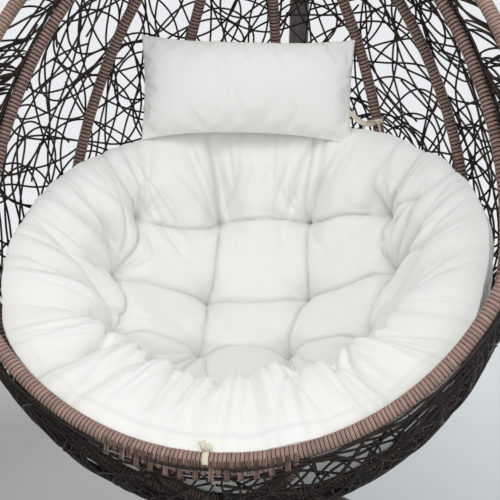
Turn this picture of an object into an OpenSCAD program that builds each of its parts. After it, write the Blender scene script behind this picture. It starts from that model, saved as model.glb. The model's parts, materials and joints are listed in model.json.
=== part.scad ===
// Hanging egg chair: a wicker basket with a rim hoop and seven ribs, hung by a
// spring from the arm of a one-post stand that rises from a ring on the floor.
// Millimetres, Z up, the chair faces -Y, and the floor is Z = 0.
// The basket is drawn upright in its own frame and then leaned back and hung.

/* [Rim hoop] */
// Half of the rim hoop's width, to the middle of its tube
hoop_half = 510; // [490:1:520]
// Length of the rim hoop in its own plane
hoop_len = 1112.5; // [1100:0.5:1125]
// Radius of the hoop's bend at the crown
hoop_top = 337; // [320:1:350]
// Radius of the hoop's tube
hoop_r = 11; // [10:0.5:12]

/* [Rib cage] */
// Largest radius of the rib cage, to the middle of the ribs
cage_half = 479.5; // [475:0.5:485]
// Length of the rib cage from pole to pole
cage_len = 1172.5; // [1165:0.5:1180]
// Radius of the ribs' bend at the crown
cage_top = 321; // [310:1:330]
// How far behind the hoop's foot the lower pole lies
cage_back = 234; // [228:1:240]
// How far under the hoop's foot the lower pole lies
cage_drop = 51; // [46:1:56]
// Angle between the cage's axis and the hoop's plane
cage_tilt = 8; // [7:0.5:9]
// Radius of a rib's tube
rib_r = 9.5; // [8.5:0.5:10]
// Angle of the inner pair of ribs from the back rib
inner_rib = 31.6; // [28:0.2:34]
// Angle of the middle pair of ribs from the back rib
middle_rib = 59.8; // [56:0.2:63]
// Angle of the side pair of ribs from the back rib
side_rib = 96.6; // [92:0.2:99]
// Angle of the front struts from the middle of the front
strut_turn = 35; // [30:1:40]
// Wall of the basket's tubes
tube_wall = 1.4; // [1:0.1:2]

/* [Crown and foot of the cage] */
// Radius of the cups that the ribs end on
hub_r = 50; // [46:1:54]
// Wall of the cups
hub_wall = 4; // [3:0.5:5]
// Half width of the block that the hoop's two ends are welded to
block_half = 18; // [14:1:22]
// Radius of the hanging ring's bend
ring_bend = 27; // [25:1:30]
// Radius of the hanging ring's rod
ring_rod = 5; // [4:0.5:6]
// How far in front of the cage's axis the hanging ring stands
ring_front = 26; // [0:0.5:60]

/* [Wicker] */
// Thickness of the strip wound round the hoop
hoop_wrap = 1.5; // [1:0.1:2]
// Thickness of the strip wound round the ribs
rib_wrap = 1.25; // [1:0.05:1.5]
// Thickness of the woven panels
weave_t = 3; // [2.5:0.5:4]

/* [Cushions] */
// Thickness of the seat cushion at its thinnest crown
pad_t = 108; // [100:1:116]
// How much thicker the seat part of the cushion is
pad_seat = 85; // [75:1:90]
// Depth of a sewn tuft
tuft_deep = 42; // [30:1:46]
// Distance between neighbouring tufts across the cushion's face
tuft_step = 165; // [150:1:175]
// Width of the head pillow
pillow_w = 455; // [440:1:460]
// Height of the head pillow
pillow_h = 228; // [215:1:235]
// Thickness of the head pillow
pillow_t = 100; // [90:1:104]

/* [Hang] */
// How far the chair's hoop leans back from upright
lean = 20; // [17:0.5:22]
// Length of the shackle from its pin to its bow
shackle_len = 40; // [38:1:46]
// Length of the swivel between its two eyes
swivel_len = 56; // [54:1:64]
// Turns of the spring
spring_turns = 14; // [10:1:18]
// Rise of one turn of the spring
spring_pitch = 6.8; // [6.6:0.1:7.4]
// Radius of the spring's coil, to the middle of the wire
spring_bend = 21; // [19:0.5:23]
// Radius of the spring's wire
spring_wire = 3; // [2.5:0.1:3]
// Length of the snap hook between its two bends
link_len = 62; // [60:1:72]
// Most that the spring gives
spring_give = 60; // [40:5:70]

/* [Stand] */
// Radius of the floor ring, to the middle of its tube
base_bend = 500; // [480:1:520]
// Radius of the floor ring's tube
base_r = 19; // [17:0.5:21]
// Radius of the post's tube
post_r = 24; // [22:0.5:26]
// How far the post leans back
post_lean = 10; // [8:0.5:12]
// Length of the straight part of the post
post_straight = 1340; // [1300:5:1370]
// Radius of the post's bend over the chair
post_bend = 515; // [500:1:530]
// Length of the lower piece of the post
post_low = 870; // [800:5:950]
// Wall of the stand's tubes
stand_wall = 2; // [1.5:0.1:2.5]
// Height of the foot pads under the floor ring
pad_h = 12; // [11:0.5:16]
// How far round from the post each brace meets the floor ring
brace_turn = 55; // [45:1:62]

/* [Hidden] */
$fn = 48;

// Clearances: round a weld, between a wrap and a weld bead, and under a panel
weld_gap = 0.2;
wrap_gap = 0.1;
panel_gap = 0.35;
// Weld beads that join the bends of a tube, and how far they stand proud
bead_w = 4;
bead_up = 0.4;
steel = [0.24, 0.2, 0.2];
zinc = [0.72, 0.72, 0.74];
bark = [0.5, 0.38, 0.33];
dark = [0.2, 0.16, 0.14];
linen = [0.95, 0.95, 0.92];
tape = [0.86, 0.82, 0.72];

// ---- An egg outline of three tangent bends, drawn from its foot upwards ----
// The outline's normal turns from -90 at the foot, over 0 at the side, to 90.
function side_bend(half, len, top) =
    let (rise = len - top - half) (rise * rise + half * half - top * top) / (2 * (half - top));
function side_end(half, len, top) =
    atan2(len - top - half, side_bend(half, len, top) - half);
function egg_at(half, len, top, a) =
    a < 0 ? [half * cos(a), half + half * sin(a)]
    : a < side_end(half, len, top)
    ? let (s = side_bend(half, len, top)) [half - s + s * cos(a), half + s * sin(a)]
    : [top * cos(a), len - top + top * sin(a)];

module bend(radius, from, to, rod) {
    rotate_extrude(angle = to - from, start = from)
        translate([radius, 0])
            circle(rod);
}
module egg_side(half, len, top, rod, high) {
    s = side_bend(half, len, top);
    translate([half - s, half, 0])
        bend(s, 0, side_end(half, len, top), rod);
    translate([0, len - top, 0])
        bend(top, side_end(half, len, top), high, rod);
}
module egg_bead(half, len, top, rod) {
    translate([0, len - top, 0])
        rotate([0, 0, side_end(half, len, top)])
            translate([top, 0, 0])
                rotate([90, 0, 0])
                    cylinder(r = rod, h = bead_w, center = true);
}
module rib_line(rod, bead) {
    low = -acos((hub_r - 8) / cage_half);
    high = acos((hub_r - 8) / cage_top);
    translate([0, cage_half, 0])
        bend(cage_half, low, 0, rod);
    egg_side(cage_half, cage_len, cage_top, rod, high);
    egg_bead(cage_half, cage_len, cage_top, bead);
}
module hoop_line(rod, bead) {
    high = acos((block_half - 4) / hoop_top);
    translate([0, hoop_half, 0])
        bend(hoop_half, 180, 360, rod);
    for (side = [0, 1])
        mirror([side, 0, 0]) {
            egg_side(hoop_half, hoop_len, hoop_top, rod, high);
            egg_bead(hoop_half, hoop_len, hoop_top, bead);
        }
}

// ---- Frames ----
// The basket's frame has its origin at the hoop's foot, with Z along the hoop.
module in_cage() {
    translate([0, cage_back, -cage_drop])
        rotate([cage_tilt, 0, 0])
            children();
}
function cage_of_hoop(p) = [
    p[0],
    (p[1] + cage_drop) * sin(cage_tilt) - cage_back * cos(cage_tilt),
    (p[1] + cage_drop) * cos(cage_tilt) + cage_back * sin(cage_tilt)
];
module upright(turn) {
    rotate([0, 0, 90 - turn])
        rotate([90, 0, 0])
            children();
}
rib_turns = [-side_rib, -middle_rib, -inner_rib, 0, inner_rib, middle_rib, side_rib];
rib_wrap_r = rib_r + bead_up + wrap_gap + rib_wrap;
hoop_wrap_r = hoop_r + bead_up + wrap_gap + hoop_wrap;
hub_top = cage_len + 25.5;
lug_h = 6;
ring_up = hub_top + lug_h + ring_bend + ring_rod - 3;

// ---- The chain of hanging parts, from the arm down ----
link_gap = 0.5;
bow_rod = 5;
bow_bend = 11;
eye_bend = 12.5;
eye_rod = 3.5;
hook_bend = 13;
coil_lead = 8;
link_rod = 4;
link_bend = 15;
eye_reach = 22;
base_z = pad_h + base_r;
bend_y = base_bend + post_straight * sin(post_lean) - post_bend * cos(post_lean);
bend_z = base_z + post_straight * cos(post_lean) + post_bend * sin(post_lean);
arm_turn = asin(bend_y / post_bend);
arm_z = bend_z + post_bend * cos(arm_turn);
eye_z = arm_z - post_r / cos(arm_turn) - eye_reach;
bow_z = eye_z - shackle_len;
head_z = bow_z + bow_rod + link_gap - eye_bend + eye_rod;
stem_z = head_z - swivel_len;
hook_z = stem_z - eye_bend + eye_rod + link_gap + spring_wire;
spring_len = 4 * hook_bend + 2 * coil_lead + spring_turns * spring_pitch;
link_top = hook_z - spring_len + spring_wire + link_gap + link_rod;
pivot_z = link_top - link_len;
// The ring hangs from the snap hook's lower bend, straight above the ring's middle
ring_hang = ring_bend - ring_rod - link_gap - link_rod;
ring_y = cage_back - ring_front * cos(cage_tilt) - ring_up * sin(cage_tilt);
ring_z = -cage_drop - ring_front * sin(cage_tilt) + ring_up * cos(cage_tilt);
pivot_y = ring_y - ring_hang * sin(lean);
pivot_up = ring_z + ring_hang * cos(lean);
// The origin lies on the floor under the middle of the whole chair
post_rear = bend_y + post_bend + post_r;
hang_y = (base_bend + base_r - post_rear) / 2;

module on_stand() {
    translate([0, hang_y, 0])
        children();
}
module on_basket() {
    on_stand()
        translate([0, 0, pivot_z])
            rotate([-lean, 0, 0])
                translate([0, -pivot_y, -pivot_up])
                    children();
}

// ---- Floor ring ----
spigot_r = base_r - stand_wall + 0.4 - 0.3;
ring_bore = base_r - stand_wall + 0.4;
bolt_r = 4;
bolt_hole = bolt_r + 0.25;
spigot_turn = 7;
bolt_turn = 4;
joint_bolts = [-90 - bolt_turn, -90 + bolt_turn, 90 - bolt_turn, 90 + bolt_turn];

// Places its children on the floor ring, turned from the rear towards +X
module on_ring(turn) {
    rotate([0, 0, -turn])
        translate([0, base_bend, 0])
            children();
}
module ring_bolt_holes(r) {
    for (turn = joint_bolts)
        on_ring(turn)
            cylinder(r = r, h = 2 * base_z + 4 * base_r, center = true);
}
module half_ring(from) {
    slit = 0.02;
    on_stand()
        difference() {
            translate([0, 0, base_z])
                bend(base_bend, from + slit, from + 180 - slit, base_r);
            translate([0, 0, base_z])
                bend(base_bend, from, from + 180, ring_bore);
            ring_bolt_holes(bolt_hole);
        }
}
module base_ring_front() {
    color(steel)
        half_ring(180);
}
module base_ring_rear() {
    color(steel)
        half_ring(0);
}
module base_ring_spigots() {
    color(zinc)
        on_stand()
            difference() {
                for (middle = [0, 180])
                    translate([0, 0, base_z])
                        bend(base_bend, middle - spigot_turn, middle + spigot_turn, spigot_r);
                for (middle = [0, 180])
                    translate([0, 0, base_z])
                        bend(base_bend, middle - spigot_turn - 1, middle + spigot_turn + 1,
                             spigot_r - stand_wall);
                ring_bolt_holes(bolt_hole);
            }
}
module foot_pads() {
    pad_r = 17;
    color([0.1, 0.1, 0.1])
        on_stand()
            for (turn = [0 : 60 : 300])
                difference() {
                    on_ring(turn)
                        cylinder(r = pad_r, h = pad_h + 7);
                    translate([0, 0, base_z])
                        rotate([0, 0, 80 - turn])
                            bend(base_bend, 0, 20, base_r + weld_gap);
                }
}

// ---- Post ----
// The post's frame has the middle of the bend at its origin and the straight
// part running down from [post_bend, 0].
module in_post() {
    on_stand()
        translate([0, bend_y, bend_z])
            rotate([90, 0, 90])
                rotate([0, 0, -post_lean])
                    children();
}
module post_length(from, to, r) {
    translate([post_bend, from - post_straight, 0])
        rotate([-90, 0, 0])
            cylinder(r = r, h = to - from);
}
module across_post(at, r, len) {
    translate([post_bend, at - post_straight, 0])
        cylinder(r = r, h = len, center = true);
}
arm_end = post_lean + 90 + arm_turn + 4;
post_start = base_r + 3;
post_bore = post_r - stand_wall;
socket_bore = post_r + 0.3;
socket_r = socket_bore + 3;
socket_len = 130;
socket_bolt = 60;
sleeve_half = 80;
sleeve_bolt = 45;
post_bolts = [socket_bolt, post_low - sleeve_bolt, post_low + sleeve_bolt];

module post_socket() {
    color(steel)
        difference() {
            in_post()
                post_length(0, socket_len, socket_r);
            in_post()
                post_length(-1, socket_len + 1, socket_bore);
            in_post()
                across_post(socket_bolt, bolt_hole, 4 * post_r);
            on_stand()
                translate([0, 0, base_z])
                    bend(base_bend, 80, 100, base_r + weld_gap);
        }
}
module post_lower() {
    color(steel)
        in_post()
            difference() {
                post_length(post_start, post_low, post_r);
                post_length(post_start - 1, post_low + 1, post_bore);
                for (at = post_bolts)
                    across_post(at, bolt_hole, 4 * post_r);
            }
}
module post_upper() {
    color(steel)
        in_post()
            difference() {
                union() {
                    post_length(post_low + weld_gap, post_straight, post_r);
                    bend(post_bend, 0, arm_end, post_r);
                }
                union() {
                    post_length(post_low - 1, post_straight, post_bore);
                    bend(post_bend, 0, arm_end + 1, post_bore);
                }
                across_post(post_low + sleeve_bolt, bolt_hole, 4 * post_r);
            }
}
module post_sleeve() {
    slip = 0.3;
    color(zinc)
        in_post()
            difference() {
                post_length(post_low - sleeve_half, post_low + sleeve_half, post_bore - slip);
                post_length(post_low - sleeve_half - 1, post_low + sleeve_half + 1,
                            post_bore - slip - stand_wall);
                for (at = [post_low - sleeve_bolt, post_low + sleeve_bolt])
                    across_post(at, bolt_hole, 4 * post_r);
            }
}
module arm_cap() {
    cap_h = 4;
    plug_h = 16;
    color([0.1, 0.1, 0.1])
        in_post()
            rotate([0, 0, arm_end])
                translate([post_bend, 0, 0])
                    rotate([-90, 0, 0]) {
                        translate([0, 0, weld_gap])
                            cylinder(r = post_r + 0.5, h = cap_h);
                        translate([0, 0, -plug_h])
                            cylinder(r = post_bore - 0.9, h = plug_h + 1);
                    }
}

// ---- Braces from the floor ring to the post's socket ----
brace_r = 11;
brace_up = 105;
module brace(side) {
    foot = [side * base_bend * sin(brace_turn), base_bend * cos(brace_turn), base_z];
    head = [0, base_bend + brace_up * sin(post_lean), base_z + brace_up * cos(post_lean)];
    way = head - foot;
    color(steel)
        difference() {
            on_stand()
                translate(foot)
                    rotate([0, acos(way[2] / norm(way)), atan2(way[1], way[0])])
                        difference() {
                            cylinder(r = brace_r, h = norm(way));
                            translate([0, 0, -1])
                                cylinder(r = brace_r - stand_wall, h = norm(way) + 2);
                        }
            on_stand()
                translate([0, 0, base_z])
                    bend(base_bend, 90 - side * brace_turn - 12, 90 - side * brace_turn + 12,
                         base_r + weld_gap);
            in_post()
                post_length(-20, socket_len + 40, socket_r + weld_gap);
        }
}

// ---- Bolts and nuts ----
bolt_head = 6.5;
bolt_head_h = 5;
nut_h = 6.4;
nut_r = 7.4;
module stand_bolts() {
    color(zinc) {
        on_stand()
            for (turn = joint_bolts)
                on_ring(turn) {
                    translate([0, 0, base_z - base_r - nut_h - 1])
                        cylinder(r = bolt_r, h = 2 * base_r + nut_h + 2);
                    translate([0, 0, base_z + base_r + weld_gap])
                        cylinder(r = bolt_head, h = bolt_head_h);
                }
        in_post()
            for (at = post_bolts)
                translate([post_bend, at - post_straight, 0]) {
                    wall = at == socket_bolt ? socket_r : post_r;
                    translate([0, 0, -wall - nut_h - 2])
                        cylinder(r = bolt_r, h = 2 * wall + nut_h + 3);
                    translate([0, 0, wall + weld_gap])
                        cylinder(r = bolt_head, h = bolt_head_h);
                }
    }
}
module nut() {
    difference() {
        cylinder(r = nut_r, h = nut_h, $fn = 6);
        translate([0, 0, -1])
            cylinder(r = bolt_r + 0.05, h = nut_h + 2);
    }
}
module stand_nuts() {
    color(zinc) {
        on_stand()
            for (turn = joint_bolts)
                on_ring(turn)
                    translate([0, 0, base_z - base_r - nut_h - weld_gap])
                        nut();
        in_post()
            for (at = post_bolts)
                translate([post_bend, at - post_straight, 0]) {
                    wall = at == socket_bolt ? socket_r : post_r;
                    translate([0, 0, -wall - nut_h - weld_gap])
                        nut();
                }
    }
}

// ---- Eye under the arm, and the shackle ----
pin_r = 5;
eye_half = 5;
ear_in = 6;
ear_out = 16;
module along_x(from, to, r) {
    translate([from, 0, 0])
        rotate([0, 90, 0])
            cylinder(r = r, h = to - from);
}
module hanger_eye() {
    plate_r = 14;
    $fn = 180;
    color(steel)
        difference() {
            on_stand()
                translate([0, 0, eye_z])
                    difference() {
                        union() {
                            along_x(-eye_half, eye_half, plate_r);
                            translate([-eye_half, -plate_r, 0])
                                cube([2 * eye_half, 2 * plate_r, arm_z - eye_z]);
                        }
                        along_x(-eye_half - 1, eye_half + 1, pin_r + link_gap);
                    }
            in_post()
                bend(post_bend, arm_end - 20, arm_end + 5, post_r + weld_gap);
        }
}
module shackle_bow() {
    ear_r = 9.5;
    color(zinc)
        on_stand()
            difference() {
                union() {
                    for (side = [0, 1])
                        mirror([side, 0, 0]) {
                            translate([0, 0, eye_z])
                                along_x(ear_in, ear_out, ear_r);
                            translate([bow_bend, 0, bow_z + bow_bend])
                                cylinder(r = bow_rod, h = shackle_len - bow_bend);
                        }
                    translate([0, 0, bow_z + bow_bend])
                        rotate([90, 0, 0])
                            bend(bow_bend, 180, 360, bow_rod);
                }
                translate([0, 0, eye_z])
                    along_x(-ear_out - 1, ear_out + 1, pin_r + 0.15);
            }
}
pin_out = ear_out + 9;
module shackle_pin() {
    color(zinc)
        on_stand()
            translate([0, 0, eye_z]) {
                along_x(-ear_out - 1, pin_out, pin_r);
                along_x(-ear_out - 4.2, -ear_out - weld_gap, 8);
            }
}
module shackle_nut() {
    color(zinc)
        on_stand()
            translate([ear_out + weld_gap, 0, eye_z])
                rotate([0, 90, 0])
                    difference() {
                        cylinder(r = 9, h = 7, $fn = 6);
                        translate([0, 0, -1])
                            cylinder(r = pin_r + 0.05, h = 9);
                    }
}

// ---- Swivel ----
barrel_r = 13;
barrel_h = 22;
stem_r = 4.5;
flange_r = 8;
flange_h = 5;
washer_h = 2;
barrel_top = head_z - eye_bend - 1;
barrel_low = barrel_top - barrel_h;
cup_low = barrel_low + 5;
module eye(turn) {
    rotate([90, 0, turn])
        rotate_extrude()
            translate([eye_bend, 0])
                circle(eye_rod);
}
module swivel_head() {
    color(zinc)
        on_stand()
            difference() {
                union() {
                    translate([0, 0, head_z])
                        eye(90);
                    translate([0, 0, barrel_low])
                        cylinder(r = barrel_r, h = barrel_h);
                }
                translate([0, 0, cup_low])
                    cylinder(r = flange_r + 0.4, h = washer_h + flange_h + 1);
                translate([0, 0, barrel_low - 1])
                    cylinder(r = stem_r + 0.08, h = 12);
            }
}
module swivel_washer() {
    color([0.8, 0.65, 0.3])
        on_stand()
            translate([0, 0, cup_low + 0.1])
                difference() {
                    cylinder(r = flange_r, h = washer_h);
                    translate([0, 0, -1])
                        cylinder(r = stem_r + 0.15, h = washer_h + 2);
                }
}
module swivel_stem() {
    flange_z = cup_low + washer_h + 0.3;
    color(zinc)
        on_stand() {
            translate([0, 0, stem_z])
                eye(0);
            translate([0, 0, stem_z + eye_bend])
                cylinder(r = stem_r, h = flange_z - stem_z - eye_bend + 1);
            translate([0, 0, flange_z])
                cylinder(r = flange_r, h = flange_h);
        }
}

// ---- Spring: one wire with a hook at each end ----
curl_steps = 8;
wire_sides = 6;
hook_open = 20;
hook_steps = 8;
// The upper half of the wire's middle line, from its open end to half way down
function hook_points() = [
    for (i = [0 : hook_steps - 1])
        let (a = -hook_open + i * (270 + hook_open) / hook_steps)
            [0, hook_bend * cos(a), -hook_bend + hook_bend * sin(a)]
];
lead_steps = 6;
function lead_points() = [
    for (i = [0 : lead_steps - 1])
        let (k = i / lead_steps, a = 90 + 270 * k, r = spring_bend * sin(90 * k))
            [r * cos(a), r * sin(a), -2 * hook_bend - coil_lead * k]
];
function coil_points() = [
    for (i = [0 : spring_turns * curl_steps / 2])
        let (a = 360 * i / curl_steps)
            [spring_bend * cos(a), spring_bend * sin(a),
             -2 * hook_bend - coil_lead - spring_pitch * i / curl_steps]
];
wire_half = concat(hook_points(), lead_points(), coil_points());
half_n = len(wire_half);
// The lower half is the upper half turned over about X
wire_line = concat(
    wire_half,
    [for (i = [half_n - 2 : -1 : 0])
        [wire_half[i][0], -wire_half[i][1], -spring_len - wire_half[i][2]]]
);
wire_n = len(wire_line);
function unit(v) = v / norm(v);
function wire_way(i) =
    unit(wire_line[min(i + 1, wire_n - 1)] - wire_line[max(i - 1, 0)]);
function in_hook(i) = i < hook_steps || i >= wire_n - hook_steps;
function wire_side(i) = in_hook(i) ? [1, 0, 0] : unit(cross(wire_way(i), [0, 0, 1]));
wire_rings = [
    for (i = [0 : wire_n - 1])
        let (n = wire_side(i), m = cross(wire_way(i), n))
            for (k = [0 : wire_sides - 1])
                wire_line[i] + spring_wire * (n * cos(360 * k / wire_sides)
                                              + m * sin(360 * k / wire_sides))
];
function tube_faces(rings, sides) = concat(
    [for (k = [1 : sides - 2]) [0, k, k + 1]],
    [for (i = [0 : rings - 2], k = [0 : sides - 1])
        let (a = i * sides + k, b = i * sides + (k + 1) % sides) [a, a + sides, b]],
    [for (i = [0 : rings - 2], k = [0 : sides - 1])
        let (a = i * sides + k, b = i * sides + (k + 1) % sides) [b, a + sides, b + sides]],
    [for (k = [1 : sides - 2])
        let (e = (rings - 1) * sides) [e, e + k + 1, e + k]]
);
// Least gap between parts of the wire that aren't next to each other
gap_skip = 5;
spring_gap = min([
    for (i = [0 : wire_n - 1 - gap_skip], j = [i + gap_skip : wire_n - 1])
        norm(wire_line[i] - wire_line[j])
]) - 2 * spring_wire;
module spring() {
    echo("least gap between the spring's turns", spring_gap);
    color(zinc)
        on_stand()
            translate([0, 0, hook_z])
                polyhedron(wire_rings, tube_faces(wire_n, wire_sides));
}

// ---- Snap hook with a sprung gate ----
gate_r = 3.6;
gate_pin_r = 1.5;
gate_pin_z = pivot_z + link_bend + 4.5;
gate_end = link_top - link_bend - link_gap;
tongue_half = 1.5;
module snap_hook() {
    color(zinc)
        on_stand()
            difference() {
                union() {
                    translate([0, 0, pivot_z + link_bend])
                        rotate([90, 0, 0])
                            bend(link_bend, 180, 360, link_rod);
                    translate([-link_bend, 0, pivot_z + link_bend])
                        cylinder(r = link_rod, h = link_len - 2 * link_bend);
                    translate([0, 0, link_top - link_bend])
                        rotate([90, 0, 0])
                            bend(link_bend, 0, 180, link_rod);
                    translate([link_bend, 0, gate_pin_z])
                        rotate([90, 0, 0])
                            cylinder(r = 3, h = 2 * tongue_half, center = true);
                    translate([link_bend - 3, -tongue_half, pivot_z + link_bend - 1])
                        cube([6, 2 * tongue_half, 5.5]);
                }
                translate([link_bend, 0, gate_pin_z])
                    rotate([90, 0, 0])
                        cylinder(r = gate_pin_r + 0.06, h = 10, center = true);
            }
}
module snap_gate() {
    slot_half = tongue_half + 0.3;
    color(zinc)
        on_stand()
            difference() {
                translate([link_bend, 0, gate_pin_z - 2.8])
                    cylinder(r = gate_r, h = gate_end - gate_pin_z + 2.8);
                translate([link_bend - 6, -slot_half, gate_pin_z - 4])
                    cube([12, 2 * slot_half, 8.5]);
                translate([link_bend, 0, gate_pin_z])
                    rotate([90, 0, 0])
                        cylinder(r = gate_pin_r + 0.02, h = 10, center = true);
            }
}
module gate_pin() {
    color([0.8, 0.65, 0.3])
        on_stand()
            translate([link_bend, 0, gate_pin_z])
                rotate([90, 0, 0])
                    cylinder(r = gate_pin_r, h = 2 * gate_r, center = true);
}

// ---- Crown and foot of the rib cage ----
module crown_ring() {
    color(zinc)
        on_basket()
            in_cage()
                translate([0, -ring_front, 0]) {
                    translate([0, 0, ring_up])
                        rotate([90, 0, 90])
                            rotate_extrude()
                                translate([ring_bend, 0])
                                    circle(ring_rod);
                    translate([-7, -14, hub_top])
                        cube([14, 28, lug_h]);
                }
}
block_y = cage_of_hoop([0, hoop_len])[1];
module crown_hub() {
    low = cage_len - 22;
    color(steel)
        on_basket()
            in_cage()
                difference() {
                    union() {
                        translate([0, 0, low])
                            cylinder(r = hub_r, h = hub_top - low);
                        translate([-block_half, block_y - 16, cage_len - 3])
                            cube([2 * block_half, 16 - block_y - hub_r + 20, hub_top - cage_len + 3]);
                    }
                    translate([0, 0, low - 1])
                        cylinder(r = hub_r - hub_wall, h = hub_top - low + 1 - hub_wall);
                }
}
foot_top = 12.8;
foot_low = -12;
module foot_hub() {
    color(steel)
        on_basket()
            in_cage()
                difference() {
                    translate([0, 0, foot_low])
                        cylinder(r = hub_r, h = foot_top - foot_low);
                    translate([0, 0, foot_low - 1])
                        cylinder(r = hub_r - hub_wall, h = foot_top - foot_low + 1 - hub_wall);
                }
}
module hub_cut() {
    translate([0, 0, -cage_half])
        cylinder(r = hub_r + weld_gap, h = cage_len + 2 * cage_half);
}
module rib(number) {
    color(dark)
        on_basket()
            in_cage()
                difference() {
                    upright(rib_turns[number])
                        difference() {
                            rib_line(rib_r, rib_r + bead_up);
                            rib_line(rib_r - tube_wall, rib_r - tube_wall + bead_up);
                        }
                    hub_cut();
                }
}
module block_cut(gap) {
    translate([-block_half - gap, -60, hoop_len - 60])
        cube([2 * (block_half + gap), 120, 120]);
}
module rim_hoop() {
    color(dark)
        on_basket()
            difference() {
                rotate([90, 0, 0])
                    hoop_line(hoop_r, hoop_r + bead_up);
                rotate([90, 0, 0])
                    hoop_line(hoop_r - tube_wall, hoop_r - tube_wall + bead_up);
                block_cut(weld_gap);
            }
}

// ---- Two struts from the foot of the cage to the hoop's front ----
// A strut lies in an upright plane through the cage's axis, level at the axis,
// and its bend is the one that carries it to the middle of the hoop's tube.
function strut_gap(a) =
    let (p = cage_of_hoop(egg_at(hoop_half, hoop_len, hoop_top, a)))
        atan2(p[0], -p[1]) - strut_turn;
function strut_meets(low, high, n) =
    let (mid = (low + high) / 2)
        n == 0 ? mid
        : strut_gap(mid) > 0 ? strut_meets(low, mid, n - 1)
        : strut_meets(mid, high, n - 1);
strut_foot = cage_of_hoop(egg_at(hoop_half, hoop_len, hoop_top, strut_meets(-89.9, -40, 24)));
strut_out = norm([strut_foot[0], strut_foot[1]]);
strut_bend = (strut_out * strut_out + strut_foot[2] * strut_foot[2]) / (2 * strut_foot[2]);
strut_end = -90 + asin(strut_out / strut_bend);
module strut_line(rod) {
    translate([0, strut_bend, 0])
        bend(strut_bend, -acos((hub_r - 8) / strut_bend), strut_end, rod);
}
module hoop_cut(r) {
    rotate([90, 0, 0])
        translate([0, hoop_half, 0])
            bend(hoop_half, 235, 305, r);
}
module struts(outer, inner, off_hub) {
    difference() {
        in_cage()
            for (turn = [180 - strut_turn, 180 + strut_turn])
                upright(turn)
                    difference() {
                        strut_line(outer);
                        strut_line(inner);
                    }
        in_cage()
            translate([0, 0, -20])
                cylinder(r = hub_r + off_hub, h = 60);
        hoop_cut(hoop_wrap_r + panel_gap);
    }
}
module front_struts() {
    color(dark)
        on_basket()
            struts(rib_r, rib_r - tube_wall, weld_gap);
}

// ---- Wicker wound round the tubes ----
module hoop_wrap() {
    bore = hoop_r + bead_up + wrap_gap;
    color(bark)
        on_basket()
            difference() {
                rotate([90, 0, 0])
                    hoop_line(bore + hoop_wrap, bore + hoop_wrap + bead_up);
                rotate([90, 0, 0])
                    hoop_line(bore, bore + bead_up);
                block_cut(3);
            }
}
module rib_wraps() {
    bore = rib_r + bead_up + wrap_gap;
    color(bark)
        on_basket() {
            in_cage()
                difference() {
                    for (turn = rib_turns)
                        upright(turn)
                            difference() {
                                rib_line(bore + rib_wrap, bore + rib_wrap + bead_up);
                                rib_line(bore, bore + bead_up);
                            }
                    translate([0, 0, -cage_half])
                        cylinder(r = hub_r + 1, h = cage_len + 2 * cage_half);
                }
            struts(bore + rib_wrap, bore, 1);
        }
}

// ---- Woven panels outside the back ribs ----
panel_in = rib_wrap_r + bead_up + panel_gap;
panel_edge = hub_r + 8;
module egg_area(out) {
    s = side_bend(cage_half, cage_len, cage_top);
    a = side_end(cage_half, cage_len, cage_top);
    translate([0, cage_half])
        circle(cage_half + out);
    intersection() {
        translate([cage_half - s, cage_half])
            circle(s + out);
        translate([0, cage_half])
            square([cage_half + out + 1, (s + out) * sin(a)]);
    }
    translate([0, cage_len - cage_top])
        circle(cage_top + out);
}
module weave_back(number) {
    slit = 0.1;
    from = rib_turns[number];
    to = rib_turns[number + 1];
    color(dark)
        on_basket()
            in_cage()
                rotate_extrude(angle = to - from - 2 * slit, start = 90 - to + slit, $fn = 144)
                    intersection() {
                        translate([panel_edge, -60])
                            square([cage_half + 60, cage_len + 120]);
                        difference() {
                            egg_area(panel_in + weave_t);
                            egg_area(panel_in);
                        }
                    }
}

// ---- Woven panels from the side ribs round to the hoop ----
// Rows run from the bottom middle up to the crown. Each row is a line from the
// side rib, or from the foot's edge, out to the hoop, and bulges outwards.
front_rows = 30;
front_cols = 5;
foot_share = 0.12;
row_power = 0.77;
front_bulge = 250;
// The cage's own outward direction at a point near it
function outwards(p) =
    let (r = norm([p[0], p[1]]),
         far = p[2] < cage_half ? 0 : side_bend(cage_half, cage_len, cage_top) - cage_half)
        unit([p[0] * (r + far) / r, p[1] * (r + far) / r, p[2] - cage_half]);
function inner_edge(t) =
    t < foot_share
    ? let (turn = 179.5 - (179.5 - side_rib - 0.3) * t / foot_share,
           z = cage_half - sqrt(cage_half * cage_half - panel_edge * panel_edge))
        [panel_edge * sin(turn), panel_edge * cos(turn), z]
    : let (k = pow((t - foot_share) / (1 - foot_share), row_power),
           low = -acos(panel_edge / cage_half),
           high = acos((panel_edge + 4) / cage_top),
           p = egg_at(cage_half, cage_len, cage_top, low + (high - low) * k),
           turn = side_rib + 0.3)
        [p[0] * sin(turn), p[0] * cos(turn), p[1]];
function hoop_edge(t) =
    cage_of_hoop(egg_at(hoop_half, hoop_len, hoop_top,
                        -89.94 + (acos((block_half + 48) / hoop_top) + 89.94) * t));
function front_mid(t, s) =
    let (a = inner_edge(t), b = hoop_edge(t),
         a2 = a + outwards(a) * (panel_in + 1.4 + weave_t / 2),
         n = cross(hoop_edge(t + 0.001) - hoop_edge(t - 0.001), a - b),
         b2 = b + unit(n) * sign(n * outwards(b)) * (hoop_wrap_r + bead_up + 0.5 + weave_t / 2),
         up = pow(norm(b2 - a2), 2) / (8 * front_bulge),
         m = a2 * (1 - s) + b2 * s)
        m + outwards(m) * up * 4 * s * (1 - s);
function front_layer(shift) = [
    for (i = [0 : front_rows], j = [0 : front_cols])
        let (m = front_mid(i / front_rows, j / front_cols)) m + outwards(m) * shift
];
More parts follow.
